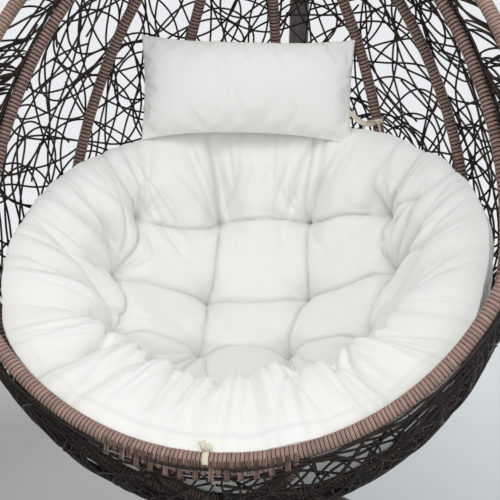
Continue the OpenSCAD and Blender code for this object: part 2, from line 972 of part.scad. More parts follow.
// Faces of a plate whose outer grid of points comes first, then its inner grid
function plate_faces(rows, cols) =
    let (w = cols + 1, n = (rows + 1) * w)
        concat(
            [for (i = [0 : rows - 1], j = [0 : cols - 1])
                let (a = i * w + j) each [[a, a + w, a + 1], [a + 1, a + w, a + w + 1]]],
            [for (i = [0 : rows - 1], j = [0 : cols - 1])
                let (a = n + i * w + j) each [[a, a + 1, a + w], [a + 1, a + w + 1, a + w]]],
            [for (i = [0 : rows - 1])
                let (a = i * w) each [[a, n + a, a + w], [a + w, n + a, n + a + w]]],
            [for (i = [0 : rows - 1])
                let (a = i * w + cols) each [[a, a + w, n + a], [a + w, n + a + w, n + a]]],
            [for (j = [0 : cols - 1]) each [[j, j + 1, n + j], [j + 1, n + j + 1, n + j]]],
            [for (j = [0 : cols - 1])
                let (a = rows * w + j) each [[a, n + a, a + 1], [a + 1, n + a, n + a + 1]]]
        );
module weave_front(side) {
    color(dark)
        on_basket()
            in_cage()
                mirror([side, 0, 0])
                    polyhedron(concat(front_layer(weave_t / 2), front_layer(-weave_t / 2)),
                               plate_faces(front_rows, front_cols));
}

// ---- Seat cushion ----
// Each point lies in a direction from the middle of the cage's lower ball.
// pad_lean turns the cushion's own middle from straight down to the back.
pad_lean = 46.7;
pad_steps = 48;
// The thick part of the cushion is round this angle from straight down
pad_front = -15;
pad_clear = 12.2;
pad_front_clear = 38;
pad_edge_from = 0.86;
// Rings of points: across the face, round the near half of the edge, round
// its far half, and across the back
face_rings = 14;
near_rings = 4;
far_rings = 3;
rear_rings = 3;
// Rows of tufts, as angles up the back from straight down, and the columns
tuft_rows = [45.5, 73, 100.5];
tuft_face = 344;
tuft_size = 36;
function pad_way(round, out) =
    let (axis = [0, sin(pad_lean), -cos(pad_lean)], up = [0, cos(pad_lean), sin(pad_lean)])
        axis * cos(out) + (up * cos(round) + [sin(round), 0, 0]) * sin(out);
function pad_reach(round) = 76 + cos(round) + 12.9 * pow(sin(round), 2);
function smooth(k) = let (c = min(1, max(0, k))) c * c * (3 - 2 * c);
// Distance from the ball's middle to the ribs along a direction
function cage_reach(way) =
    way[2] <= 0 ? cage_half : cage_search(way, 0.2 * cage_half, 2 * cage_half, 24);
function cage_search(way, low, high, n) =
    let (mid = (low + high) / 2, z = cage_half + mid * way[2],
         r = mid * norm([way[0], way[1]]), s = side_bend(cage_half, cage_len, cage_top),
         edge = cage_half - s + sqrt(max(0, s * s - pow(z - cage_half, 2))))
        n == 0 ? low
        : r < edge ? cage_search(way, mid, high, n - 1)
        : cage_search(way, low, mid, n - 1);
// Direction of a tuft: a row angle, and a turn across about the row's own axis
function tuft_way(row, col) =
    let (across = col * tuft_step / tuft_face * 180 / PI)
        [sin(across), cos(across) * sin(row), -cos(across) * cos(row)];
tufts = [for (row = tuft_rows, col = [-1.5, -0.5, 0.5, 1.5]) tuft_way(row, col)];
function tuft_dip(way) =
    max([for (t = tufts) exp(-pow(acos(min(1, way * t)) / 180 * PI * 390 / tuft_size, 2))]);
function pad_thick(way) =
    let (past = max(0, acos(way * [0, sin(pad_front), -cos(pad_front)]) - 25))
        pad_t + pad_seat * exp(-pow(past / 50, 3)) - tuft_deep * tuft_dip(way);
function pad_outer(way) =
    cage_reach(way) - pad_clear - pad_front_clear * smooth(-way[1] / 0.45);
// Share of the thickness lost at the edge, which is round and meets half way
function pad_close(k) =
    k <= pad_edge_from ? 0
    : 1 - sqrt(max(0, 1 - pow((k - pad_edge_from) / (1 - pad_edge_from), 2)));
function pad_point(round, k, face) =
    let (way = pad_way(round, pad_reach(round) * k), t = pad_thick(way), c = pad_close(k) / 2)
        [0, 0, cage_half] + way * (pad_outer(way) - t * (face == 0 ? 1 - c : c));
// Each ring as its share of the reach and its face, 0 for the near one
pad_rows = concat(
    [for (i = [1 : face_rings]) [pad_edge_from * i / face_rings, 0]],
    [for (i = [1 : near_rings])
        [pad_edge_from + (1 - pad_edge_from) * sin(90 * i / near_rings), 0]],
    [for (i = [far_rings - 1 : -1 : 0])
        [pad_edge_from + (1 - pad_edge_from) * sin(90 * i / far_rings), 1]],
    [for (i = [rear_rings - 1 : -1 : 1]) [pad_edge_from * i / rear_rings, 1]]
);
pad_points = concat(
    [pad_point(0, 0, 0)],
    [for (row = pad_rows, j = [0 : pad_steps - 1])
        pad_point(360 * j / pad_steps, row[0], row[1])],
    [pad_point(0, 0, 1)]
);
// Faces of a closed ball of rings between two poles
function ball_faces(rings, steps) =
    let (last = 1 + rings * steps)
        concat(
            [for (j = [0 : steps - 1]) [0, 1 + (j + 1) % steps, 1 + j]],
            [for (i = [0 : rings - 2], j = [0 : steps - 1])
                let (a = 1 + i * steps + j, b = 1 + i * steps + (j + 1) % steps)
                    each [[a, b, a + steps], [b, b + steps, a + steps]]],
            [for (j = [0 : steps - 1])
                let (e = 1 + (rings - 1) * steps) [last, e + j, e + (j + 1) % steps]]
        );
module seat_cushion() {
    color(linen)
        on_basket()
            in_cage()
                polyhedron(pad_points, ball_faces(len(pad_rows), pad_steps));
}

// ---- Head pillow ----
pillow_turn = 10;
pillow_out = 288;
pillow_yaw = 3;
pillow_up = 828;
pillow_lean = 17;
pillow_rings = 9;
pillow_steps = 48;
// A point of the pillow's outline: a rectangle whose sides are drawn in
function pillow_rim(a) =
    let (c = cos(a), s = sin(a), m = max(abs(c), abs(s)), x = c / m, y = s / m,
         in_x = 0.05 * (1 - y * y), in_y = 0.09 * (1 - x * x))
        [x * (1 - in_x) * pillow_w / 2, y * (1 - in_y) * pillow_h / 2];
function pillow_point(a, k, face) =
    let (r = pillow_rim(a) * k, c = cos(a), s = sin(a), m = max(abs(c), abs(s)),
         x = k * c / m, y = k * s / m,
         puff = pow(max(0, (1 - pow(abs(x), 2.4)) * (1 - pow(abs(y), 2.4))), 0.55))
        [r[0], face * pillow_t / 2 * puff, r[1]];
pillow_points = concat(
    [pillow_point(0, 0, -1)],
    [for (i = [1 : pillow_rings], j = [0 : pillow_steps - 1])
        pillow_point(360 * j / pillow_steps, sin(90 * i / pillow_rings), -1)],
    [for (i = [pillow_rings - 1 : -1 : 1], j = [0 : pillow_steps - 1])
        pillow_point(360 * j / pillow_steps, sin(90 * i / pillow_rings), 1)],
    [pillow_point(0, 0, 1)]
);
module in_pillow() {
    in_cage()
        rotate([0, 0, pillow_turn])
            translate([0, pillow_out, pillow_up])
                rotate([pillow_lean, 0, -pillow_yaw])
                    children();
}
module head_pillow() {
    color(linen)
        on_basket()
            in_pillow()
                polyhedron(pillow_points, ball_faces(2 * pillow_rings - 1, pillow_steps));
}

// ---- Ties ----
tie_t = 1.2;
tie_w = 12;
module seat_tie() {
    color(tape)
        on_basket()
            translate([-tie_w / 2, 0, 0])
                rotate([0, 90, 0])
                    rotate_extrude(angle = 200, start = 100)
                        translate([hoop_wrap_r + panel_gap, 0])
                            square([tie_t, tie_w]);
}
module pillow_ties() {
    up = pillow_up - 30;
    r = rib_wrap_r + panel_gap;
    a = egg_at(cage_half, cage_len, cage_top,
               asin((up - cage_half) / side_bend(cage_half, cage_len, cage_top)));
    color(tape)
        on_basket()
            in_cage()
                for (turn = [-inner_rib, inner_rib])
                    rotate([0, 0, -turn])
                        translate([0, a[0], up])
                            rotate([asin((up - cage_half) / side_bend(cage_half, cage_len, cage_top)), 0, 0])
                                rotate_extrude(angle = 220, start = 160)
                                    translate([r, -tie_w / 2])
                                        square([tie_t, tie_w]);
}

base_ring_front();
base_ring_rear();
base_ring_spigots();
brace(-1);  // base_brace_left
brace(1);  // base_brace_right
foot_pads();
post_socket();
post_lower();
post_upper();
post_sleeve();
stand_bolts();
stand_nuts();
arm_cap();
hanger_eye();
shackle_bow();
shackle_pin();
shackle_nut();
swivel_head();
swivel_washer();
swivel_stem();
spring();
snap_hook();
snap_gate();
gate_pin();
crown_ring();
crown_hub();
foot_hub();
rim_hoop();
for (i = [0 : 6])
    rib(i);
front_struts();
hoop_wrap();
rib_wraps();
for (i = [0 : 5])
    weave_back(i);
weave_front(1);  // weave_front_left
weave_front(0);  // weave_front_right
seat_cushion();
head_pillow();
seat_tie();
pillow_ties();
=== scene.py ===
"""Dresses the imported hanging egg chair: wicker, cushions, ties, finishes, floor, lights and camera.

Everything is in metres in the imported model's frame. The basket is worked out in its
own upright cage frame, as the solid model does it, and then leaned back and hung.
"""

from __future__ import annotations

import json
import logging
import math
from dataclasses import dataclass
from enum import Enum
from typing import Sequence

import bpy
import numpy as np
from mathutils import Matrix, Vector

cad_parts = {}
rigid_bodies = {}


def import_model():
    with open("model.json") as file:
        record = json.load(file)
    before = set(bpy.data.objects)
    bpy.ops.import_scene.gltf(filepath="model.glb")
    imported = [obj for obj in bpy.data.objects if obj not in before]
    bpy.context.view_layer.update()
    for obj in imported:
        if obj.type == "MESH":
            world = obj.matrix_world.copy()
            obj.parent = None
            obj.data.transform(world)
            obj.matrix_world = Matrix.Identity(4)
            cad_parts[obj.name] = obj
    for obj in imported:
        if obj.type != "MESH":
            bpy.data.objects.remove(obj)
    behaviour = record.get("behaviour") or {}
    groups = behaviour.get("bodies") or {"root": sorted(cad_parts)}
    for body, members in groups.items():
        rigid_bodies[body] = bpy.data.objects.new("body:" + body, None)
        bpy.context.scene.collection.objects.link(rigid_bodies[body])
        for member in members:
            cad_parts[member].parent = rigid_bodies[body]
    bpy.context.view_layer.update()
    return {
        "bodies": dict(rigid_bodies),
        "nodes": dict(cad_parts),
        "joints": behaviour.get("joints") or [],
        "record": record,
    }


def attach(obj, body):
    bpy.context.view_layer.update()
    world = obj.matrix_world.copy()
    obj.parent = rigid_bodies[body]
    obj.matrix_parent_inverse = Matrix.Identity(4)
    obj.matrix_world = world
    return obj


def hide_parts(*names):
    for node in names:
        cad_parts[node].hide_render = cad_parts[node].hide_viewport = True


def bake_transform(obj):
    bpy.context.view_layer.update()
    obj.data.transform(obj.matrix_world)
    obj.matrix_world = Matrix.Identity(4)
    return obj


log = logging.getLogger("egg_chair")
Socket = bpy.types.NodeSocket
Color = tuple[float, float, float]
Faces = list[tuple[int, ...]]
Made = list[tuple[bpy.types.Object, str]]
FULL_TURN = 2.0 * math.pi
MIRROR = np.array([-1.0, 1.0, 1.0])


# ---------------------------------------------------------------- small helpers


def unit(v: np.ndarray) -> np.ndarray:
    """Vectors of length one along the last axis."""
    return v / np.maximum(1e-12, np.linalg.norm(v, axis=-1, keepdims=True))


def dot(a: np.ndarray, b: np.ndarray) -> np.ndarray:
    """Dot products along the last axis."""
    return np.einsum("...i,...i->...", a, b)


def smooth(k: np.ndarray) -> np.ndarray:
    """A soft step from 0 to 1."""
    c = np.clip(k, 0.0, 1.0)
    return c * c * (3.0 - 2.0 * c)


def xyz(x: float | np.ndarray, y: float | np.ndarray, z: float | np.ndarray) -> np.ndarray:
    """Points from their three parts, each an array or one number for all."""
    return np.stack(np.broadcast_arrays(x, y, z), -1)


def sweep(start: float, end: float, count: int) -> np.ndarray:
    """Evenly spaced angles in radians, from one number of degrees to another."""
    return np.radians(np.linspace(start, end, count))


def bend(a: np.ndarray, b: np.ndarray, c: np.ndarray, count: int) -> np.ndarray:
    """Points of a soft curve from a to c that leans towards b."""
    k = np.linspace(0.0, 1.0, count)[:, None]
    return (1 - k) ** 2 * a + 2 * k * (1 - k) * b + k * k * c


def linked(name: str, data: bpy.types.ID) -> bpy.types.Object:
    """A new object in the scene, standing at the origin.

    Args:
        name: Its name.
        data: Its mesh, curve, light or camera.

    Returns:
        The linked object.
    """
    obj = bpy.data.objects.new(name, data)
    bpy.context.scene.collection.objects.link(obj)
    return obj


def mesh_object(name: str, points: np.ndarray, faces: Sequence[Sequence[int]]) -> bpy.types.Object:
    """A new smooth-shaded mesh object.

    Args:
        name: The piece's name.
        points: Its points, in metres.
        faces: Lists of point numbers.

    Returns:
        The object, linked to the scene.
    """
    mesh = bpy.data.meshes.new(name)
    mesh.from_pydata([tuple(p) for p in points], [], [tuple(int(i) for i in f) for f in faces])
    mesh.validate()
    mesh.shade_smooth()
    return linked(name, mesh)


def settled(obj: bpy.types.Object) -> bpy.types.Mesh:
    """A new mesh of an object as its modifiers leave it."""
    graph = bpy.context.evaluated_depsgraph_get()
    return bpy.data.meshes.new_from_object(obj.evaluated_get(graph), depsgraph=graph)


def coordinates(mesh: bpy.types.Mesh) -> np.ndarray:
    """A mesh's points as an array.

    Args:
        mesh: The mesh.

    Returns:
        One row of three numbers for each point.
    """
    co = np.empty(len(mesh.vertices) * 3)
    mesh.vertices.foreach_get("co", co)
    return co.reshape(-1, 3)


def keep_values(obj: bpy.types.Object, name: str, values: np.ndarray) -> None:
    """Stores a number on each point of a mesh, for its finish."""
    obj.data.attributes.new(name, "FLOAT", "POINT").data.foreach_set("value", values)


def grid_faces(rows: int, cols: int, wrap: bool) -> Faces:
    """Quads of a grid of points stored row by row.

    Args:
        rows: Rows of points.
        cols: Points in a row.
        wrap: Whether each row closes on itself.

    Returns:
        Lists of four point numbers.
    """
    out: Faces = []
    for i in range(rows - 1):
        for j in range(cols if wrap else cols - 1):
            a, b = i * cols + j, i * cols + (j + 1) % cols
            out.append((a, b, b + cols, a + cols))
    return out


# ---------------------------------------------------------------- node graphs


class NodeGraph:
    """A short way to write the nodes of any tree."""

    def __init__(self, tree: bpy.types.NodeTree) -> None:
        """Keeps the tree that the nodes go into."""
        self.tree, self.nodes, self.links = tree, tree.nodes, tree.links

    def fill(self, node: bpy.types.Node, inputs: dict) -> None:
        """Links each input that is given a socket, and sets any other to its value.

        Args:
            node: The node.
            inputs: Sockets or plain values, by the input's name or number.
        """
        for key, value in inputs.items():
            if isinstance(value, Socket):
                self.links.new(value, node.inputs[key])
            else:
                node.inputs[key].default_value = value

    def add(self, kind: str, inputs: dict | None = None, **props: object) -> bpy.types.Node:
        """Adds a node.

        Args:
            kind: The node's type.
            inputs: What goes into it: sockets, or plain values.
            **props: The node's own settings, which may change its inputs.

        Returns:
            The new node.
        """
        node = self.nodes.new(kind)
        for key, value in props.items():
            setattr(node, key, value)
        self.fill(node, inputs or {})
        return node


class ShaderGraph(NodeGraph):
    """A short way to write a material's nodes."""

    def __init__(self, name: str, roughness: float, metallic: float = 0.0) -> None:
        """Starts a material with one Principled shader.

        Args:
            name: The material's name.
            roughness: The shader's roughness.
            metallic: 1 for bare metal.
        """
        self.material = bpy.data.materials.new(name)
        self.material.use_nodes = True
        super().__init__(self.material.node_tree)
        self.shader = self.nodes["Principled BSDF"]
        self.dress({"Roughness": roughness, "Metallic": metallic})

    def dress(self, inputs: dict) -> None:
        """Sets or links inputs of the shader."""
        self.fill(self.shader, inputs)

    def position(self) -> Socket:
        """The piece's own coordinates, in metres."""
        return self.add("ShaderNodeTexCoord").outputs["Object"]

    def parts(self) -> bpy.types.NodeOutputs:
        """The piece's own coordinates, one by one."""
        return self.add("ShaderNodeSeparateXYZ", {"Vector": self.position()}).outputs

    def attribute(self, name: str) -> Socket:
        """A number that is stored on the piece's points."""
        return self.add("ShaderNodeAttribute", attribute_name=name).outputs["Fac"]

    def noise(self, scale: float, detail: float = 3.0, rough: float = 0.55) -> Socket:
        """A noise value over the piece's own coordinates."""
        inputs = {"Vector": self.position(), "Scale": scale, "Detail": detail, "Roughness": rough}
        return self.add("ShaderNodeTexNoise", inputs).outputs["Fac"]

    def math(self, operation: str, a: object, b: object = 0.0) -> Socket:
        """One sum of two values."""
        return self.add("ShaderNodeMath", {0: a, 1: b}, operation=operation).outputs[0]

    def spread(self, value: object, low: float, high: float, to_low: float = 0.0, to_high: float = 1.0) -> Socket:
        """Maps a value from one range to another, clamped."""
        inputs = {"Value": value, "From Min": low, "From Max": high, "To Min": to_low, "To Max": to_high}
        return self.add("ShaderNodeMapRange", inputs).outputs["Result"]

    def blend(self, share: object, a: Socket | Color, b: Socket | Color) -> Socket:
        """A colour between two colours."""
        pair = [c if isinstance(c, Socket) else (*c, 1.0) for c in (a, b)]
        return self.add("ShaderNodeMix", {0: share, 6: pair[0], 7: pair[1]}, data_type="RGBA").outputs[2]

    def bump(self, height: Socket, distance: float, strength: float = 1.0) -> None:
        """Adds relief, on top of any that is there.

        Args:
            height: The relief, from 0 to 1.
            distance: How high 1 stands, in metres.
            strength: Share of the relief that shows.
        """
        node = self.add("ShaderNodeBump", {"Height": height, "Distance": distance, "Strength": strength})
        socket = self.shader.inputs["Normal"]
        if socket.is_linked:
            self.fill(node, {"Normal": socket.links[0].from_socket})
        self.links.new(node.outputs["Normal"], socket)


# ---------------------------------------------------------------- finishes


def darker(color: Color, share: float) -> Color:
    """A colour at a share of its strength."""
    return tuple(c * share for c in color)


@dataclass(frozen=True)
class Finish:
    """A finish: each kind says how its material is made."""

    name: str
    color: Color
    roughness: float = 0.5

    def make(self) -> bpy.types.Material:
        """The finish's material, made once."""
        found = bpy.data.materials.get(self.name)
        return found if found else self.build()

    def build(self) -> bpy.types.Material:
        """Makes the material."""
        raise NotImplementedError

    def shades(self, g: ShaderGraph, share: Socket, down: float, up: float) -> Socket:
        """The finish's colour, from darker to lighter with share."""
        light = tuple(min(1.0, c * up) for c in self.color)
        return g.blend(share, darker(self.color, down), light)

    def wear(self, g: ShaderGraph, grain: Socket, less: float, more: float, top: float = 0.7) -> Socket:
        """A roughness that wanders about the finish's own with a grain."""
        return g.spread(grain, 0.3, top, self.roughness - less, self.roughness + more)


@dataclass(frozen=True)
class PaintFinish(Finish):
    """Powder coat: fine orange peel and slightly worn gloss."""

    def build(self) -> bpy.types.Material:
        """Makes the material.

        Returns:
            The finished material.
        """
        g = ShaderGraph(self.name, self.roughness)
        g.dress({"Base Color": self.shades(g, g.noise(9.0), 0.88, 1.14),
                 "Roughness": self.wear(g, g.noise(60.0), 0.06, 0.1)})
        g.bump(g.noise(900.0, 2.0), 0.00022, 0.5)
        return g.material


@dataclass(frozen=True)
class MetalFinish(Finish):
    """Bare or plated metal with faint drawn lines and dulled spots."""

    def build(self) -> bpy.types.Material:
        """Makes the material.

        Returns:
            The finished material.
        """
        g = ShaderGraph(self.name, self.roughness, 1.0)
        g.dress({"Base Color": self.shades(g, g.noise(120.0), 0.84, 1.08),
                 "Roughness": self.wear(g, g.noise(260.0, 4.0), 0.08, 0.14, 0.75)})
        g.bump(g.noise(1500.0, 2.0), 0.00008, 0.5)
        return g.material


@dataclass(frozen=True)
class RubberFinish(Finish):
    """Moulded rubber or plastic with a fine grain."""

    def build(self) -> bpy.types.Material:
        """Makes the material.

        Returns:
            The finished material.
        """
        g = ShaderGraph(self.name, self.roughness)
        g.dress({"Base Color": self.shades(g, g.noise(40.0), 0.85, 1.25)})
        g.bump(g.noise(1400.0, 3.0), 0.0003, 0.6)
        return g.material


@dataclass(frozen=True)
class StrandFinish(Finish):
    """Round rattan: tone changes from strand to strand and along it."""

    warm: Color = (0.09, 0.055, 0.04)
    shine: float = 0.22

    def build(self) -> bpy.types.Material:
        """Makes the material.

        Returns:
            The finished material.
        """
        g = ShaderGraph(self.name, self.roughness)
        mixed = g.blend(g.spread(g.attribute("tone"), 0.35, 1.0), self.color, self.warm)
        stained = g.blend(g.spread(g.noise(55.0), 0.35, 0.7, 0.0, 0.6), mixed, darker(self.color, 0.55))
        g.dress({"Base Color": stained, "Roughness": self.wear(g, g.noise(170.0), 0.1, 0.14),
                 "Specular IOR Level": self.shine})
        g.bump(g.noise(700.0, 2.0), 0.0004, 0.6)
        return g.material


@dataclass(frozen=True)
class WindingFinish(Finish):
    """Wound strip: fine strands side by side, each turn with a tone of its own, and painted shade in the grooves
    between strands and in the gaps between turns.
    """

    strands: float = 3.0
    # flat and fall: half-width of the strip's unshaded middle, and the width over which painted shade darkens its
    # edges.
    flat: float = 0.34
    fall: float = 0.1
    # Painted shade: the near-black colour put in the grooves between fine strands and in the gaps between turns.
    gap_shade: Color = (0.022, 0.012, 0.009)

    def build(self) -> bpy.types.Material:
        """Makes the material.

        Returns:
            The finished material.
        """
        g = ShaderGraph(self.name, self.roughness)
        # Painted shade: the colour falls to the near-black gap colour in the grooves between the fine strands and at
        # the strip's edges; lit marks the rest.
        across = g.attribute("across")
        wave = g.math("ABSOLUTE", g.math("SINE", g.math("MULTIPLY", across, self.strands * math.pi)))
        aside = g.math("ABSOLUTE", g.math("SUBTRACT", across, 0.5))
        edge = g.spread(aside, self.flat, self.flat + self.fall, 1.0, 0.0)
        lit = g.math("MULTIPLY", g.spread(wave, 0.22, 0.80), edge)
        tone = g.math("ADD", g.math("MULTIPLY", g.attribute("tone"), 0.55), g.math("MULTIPLY", g.noise(70.0), 0.5))
        g.dress({"Base Color": g.blend(lit, self.gap_shade, self.shades(g, tone, 0.66, 1.26)),
                 "Roughness": self.wear(g, g.noise(220.0), 0.08, 0.15)})
        g.bump(wave, 0.0006, 0.9)
        return g.material


@dataclass(frozen=True)
class ClothFinish(Finish):
    """Plain-woven cotton: crossing threads, slubs, soft creasing, and painted shade at crease bottoms where the piece
    stores a fold value.
    """

    thread: float = 0.0011
    sheen: float = 0.12
    crumple: float = 0.0016
    # fold: share of the colour left where the painted shade of a crease bottom is strongest.
    fold: float = 0.42

    def build(self) -> bpy.types.Material:
        """Makes the material.

        Returns:
            The finished material.
        """
        g = ShaderGraph(self.name, self.roughness)
        slubs = g.spread(g.noise(420.0, 2.0), 0.4, 0.75, 0.0, 0.06)
        cloth = g.blend(slubs, self.shades(g, g.noise(5.0), 0.965, 1.02), darker(self.color, 0.86))
        # Painted shade: the stored fold value darkens the cloth at crease bottoms and along the seam line.
        shaded = g.math("MULTIPLY", g.attribute("fold"), self.fold)
        g.dress({"Base Color": g.blend(shaded, cloth, darker(self.color, self.fold)),
                 "Sheen Weight": self.sheen, "Sheen Roughness": 0.5})
        parts = g.parts()
        waves = [g.math("SINE", g.math("MULTIPLY", g.math(sign, parts[axis], parts["Y"]), FULL_TURN / self.thread))
                 for sign, axis in (("ADD", "X"), ("SUBTRACT", "Z"))]
        g.bump(g.noise(28.0, 4.0, 0.6), self.crumple, 0.55)
        g.bump(g.math("MULTIPLY", *waves), 0.00012, 0.35)
        return g.material


DARK_COAT = PaintFinish("dark powder coat", (0.030, 0.021, 0.019), 0.5)
ZINC = MetalFinish("zinc plate", (0.62, 0.62, 0.64), 0.34)
BRASS = MetalFinish("turned brass", (0.78, 0.58, 0.27), 0.3)
BLACK_RUBBER = RubberFinish("black rubber", (0.022, 0.022, 0.024), 0.75)
BLACK_CAP = RubberFinish("black cap plastic", (0.03, 0.028, 0.028), 0.5)
DARK_STRAND = StrandFinish("dark rattan strand", (0.014, 0.011, 0.010), 0.42, (0.045, 0.030, 0.024))
HOOP_LASH = StrandFinish("brown rattan lashing", (0.15, 0.098, 0.078), 0.5, (0.34, 0.23, 0.19))
HOOP_STRIP = WindingFinish("brown rattan hoop winding", (0.50, 0.325, 0.27))
RIB_STRIP = WindingFinish("brown rattan rib winding", (0.40, 0.255, 0.212), flat=0.27)
WHITE_COTTON = ClothFinish("white cotton", (0.86, 0.86, 0.835), 0.85)
BEIGE_TAPE = ClothFinish("beige cotton tape", (0.72, 0.66, 0.52), 0.85, 0.0016, 0.1, 0.0006)


# ---------------------------------------------------------------- geometry trees


class PathTree(NodeGraph):
    """A Geometry Nodes tree with named inputs, run on a curve and turned into a plain mesh."""

    def __init__(self, name: str, inputs: dict[str, str]) -> None:
        """Starts a tree.

        Args:
            name: The tree's name.
            inputs: Its inputs beside the curve: the kind of socket by name.
        """
        super().__init__(bpy.data.node_groups.new(name, "GeometryNodeTree"))
        sockets = self.tree.interface
        sockets.new_socket("Geometry", in_out="OUTPUT", socket_type="NodeSocketGeometry")
        for label, kind in {"Geometry": "Geometry", **inputs, "Seed": "Int", "Material": "Material"}.items():
            sockets.new_socket(label, in_out="INPUT", socket_type=f"NodeSocket{kind}")
        self.inside = self.nodes.new("NodeGroupInput").outputs

    def chance(self, limits: Sequence[Socket] = ()) -> Socket:
        """A random number for each element, from 0 to 1 or between two sockets."""
        inputs = {**dict(zip((2, 3), limits)), "Seed": self.inside["Seed"]}
        return self.add("FunctionNodeRandomValue", inputs, data_type="FLOAT").outputs[1]

    def toned(self, geometry: Socket, domain: str) -> Socket:
        """Stores a random tone on each strand or turn."""
        inputs = {"Geometry": geometry, "Name": "tone", "Value": self.chance()}
        return self.add("GeometryNodeStoreNamedAttribute", inputs, data_type="FLOAT", domain=domain).outputs[0]

    def end(self, geometry: Socket) -> None:
        """Realizes instances, sets the material and closes the tree.

        Args:
            geometry: What the tree has made.
        """
        real = self.add("GeometryNodeRealizeInstances", {"Geometry": geometry}).outputs[0]
        dressed = self.add("GeometryNodeSetMaterial", {"Geometry": real, "Material": self.inside["Material"]})
        self.add("NodeGroupOutput", {0: dressed.outputs[0]})

    def run(self, name: str, lines: Sequence[np.ndarray], values: dict[str, object]) -> bpy.types.Object:
        """Applies the tree to lines of points.

        Args:
            name: The new piece's name.
            lines: One array of points for each line.
            values: Input values by the inputs' names.

        Returns:
            The result as a plain mesh object.
        """
        curve = bpy.data.curves.new(name, "CURVE")
        curve.dimensions = "3D"
        for line in lines:
            spline = curve.splines.new("POLY")
            spline.points.add(len(line) - 1)
            spline.points.foreach_set("co", np.column_stack([line, np.ones(len(line))]).ravel())
        source = linked(name, curve)
        modifier = source.modifiers.new("tree", "NODES")
        modifier.node_group = self.tree
        for item in self.tree.interface.items_tree:
            if item.in_out == "INPUT" and item.name in values:
                modifier[item.identifier] = values[item.name]
        mesh = settled(source)
        source.modifiers.remove(modifier)
        bpy.data.objects.remove(source)
        mesh.name = name
        mesh.shade_smooth()
        return linked(name, mesh)


class StrandTree(PathTree):
    """Round strands that follow the lines of a curve, with a tone for each."""

    def __init__(self) -> None:
        """Builds the tree."""
        super().__init__("strands", {"Radius": "Float", "Sides": "Int"})
        ring = self.add("GeometryNodeCurvePrimitiveCircle",
                        {"Resolution": self.inside["Sides"], "Radius": self.inside["Radius"]})
        curve = self.toned(self.inside["Geometry"], "CURVE")
        inputs = {"Curve": curve, "Profile Curve": ring.outputs[0], "Fill Caps": True}
        self.end(self.add("GeometryNodeCurveToMesh", inputs).outputs[0])

    def make(self, name: str, lines: Sequence[np.ndarray], radius: float, sides: int, seed: int,
             finish: Finish) -> bpy.types.Object:
        """Strands along lines of points, with a radius in metres, a number of sides and a seed for their tones."""
        return self.run(name, lines, {"Radius": radius, "Sides": sides, "Seed": seed, "Material": finish.make()})


class WindingTree(PathTree):
    """Turns of a strip set side by side along a path."""

    def __init__(self) -> None:
        """Builds the tree."""
        super().__init__("winding", {"Turn": "Object", "Pitch": "Float", "Tilt": "Float"})
        even = self.add("GeometryNodeResampleCurve",
                        {"Curve": self.inside["Geometry"], "Length": self.inside["Pitch"]}, mode="LENGTH")
        points = self.add("GeometryNodeCurveToPoints", {"Curve": even.outputs[0]}, mode="EVALUATED").outputs
        turn = self.add("GeometryNodeObjectInfo", {"Object": self.inside["Turn"], "As Instance": True})
        placed = self.add("GeometryNodeInstanceOnPoints", {"Points": points["Points"], "Rotation": points["Rotation"],
                                                           "Instance": turn.outputs["Geometry"]})
        leans = [self.add("ShaderNodeMath", {0: self.inside["Tilt"], 1: share}, operation="MULTIPLY").outputs[0]
                 for share in (0.6, 1.4)]
        twist = self.add("ShaderNodeCombineXYZ", {"X": self.chance(leans)})
        leaned = self.add("GeometryNodeRotateInstances",
                          {"Instances": placed.outputs[0], "Rotation": twist.outputs[0]})
        self.end(self.toned(leaned.outputs[0], "INSTANCE"))

    def make(self, name: str, lines: Sequence[np.ndarray], turn: bpy.types.Object, pitch: float, tilt: float,
             seed: int, finish: Finish) -> bpy.types.Object:
        """Turns along middle lines, with their pitch in metres, their tilt in radians and a seed for their tones."""
        return self.run(name, lines, {"Turn": turn, "Pitch": pitch, "Tilt": tilt, "Seed": seed,
                                      "Material": finish.make()})


# ---------------------------------------------------------------- the basket's shape


@dataclass(frozen=True)
class EggLine:
    """An egg outline of three tangent bends, standing on its foot."""

    half: float
    length: float
    top: float

    @property
    def side(self) -> float:
        """Radius of the long side bends."""
        rise = self.length - self.top - self.half
        return (rise * rise + self.half ** 2 - self.top ** 2) / (2.0 * (self.half - self.top))

    @property
    def shoulder(self) -> float:
        """Angle at which the side bend meets the top bend."""
        return math.atan2(self.length - self.top - self.half, self.side - self.half)

    def at(self, turn: np.ndarray, out: float | np.ndarray = 0.0) -> tuple[np.ndarray, np.ndarray]:
        """The outline where its normal stands at an angle above level.

        Args:
            turn: The normal's angle.
            out: Distance outside the outline.

        Returns:
            Distances from the axis, and heights.
        """
        low, top = turn < 0.0, turn > self.shoulder
        radius = np.where(low, self.half, np.where(top, self.top, self.side)) + out
        r0 = np.where(low | top, 0.0, self.half - self.side)
        z0 = np.where(top, self.length - self.top, self.half)
        return r0 + radius * np.cos(turn), z0 + radius * np.sin(turn)

    def turn_at(self, r: np.ndarray, z: np.ndarray) -> np.ndarray:
        """The outline's normal angle nearest to points.

        Args:
            r: The points' distances from the axis.
            z: Their heights.

        Returns:
            One angle for each point.
        """
        low = np.arctan2(z - self.half, r)
        mid = np.arctan2(z - self.half, r - (self.half - self.side))
        top = np.arctan2(z - (self.length - self.top), r)
        return np.where(low < 0.0, low, np.where(mid < self.shoulder, mid, np.maximum(top, self.shoulder)))


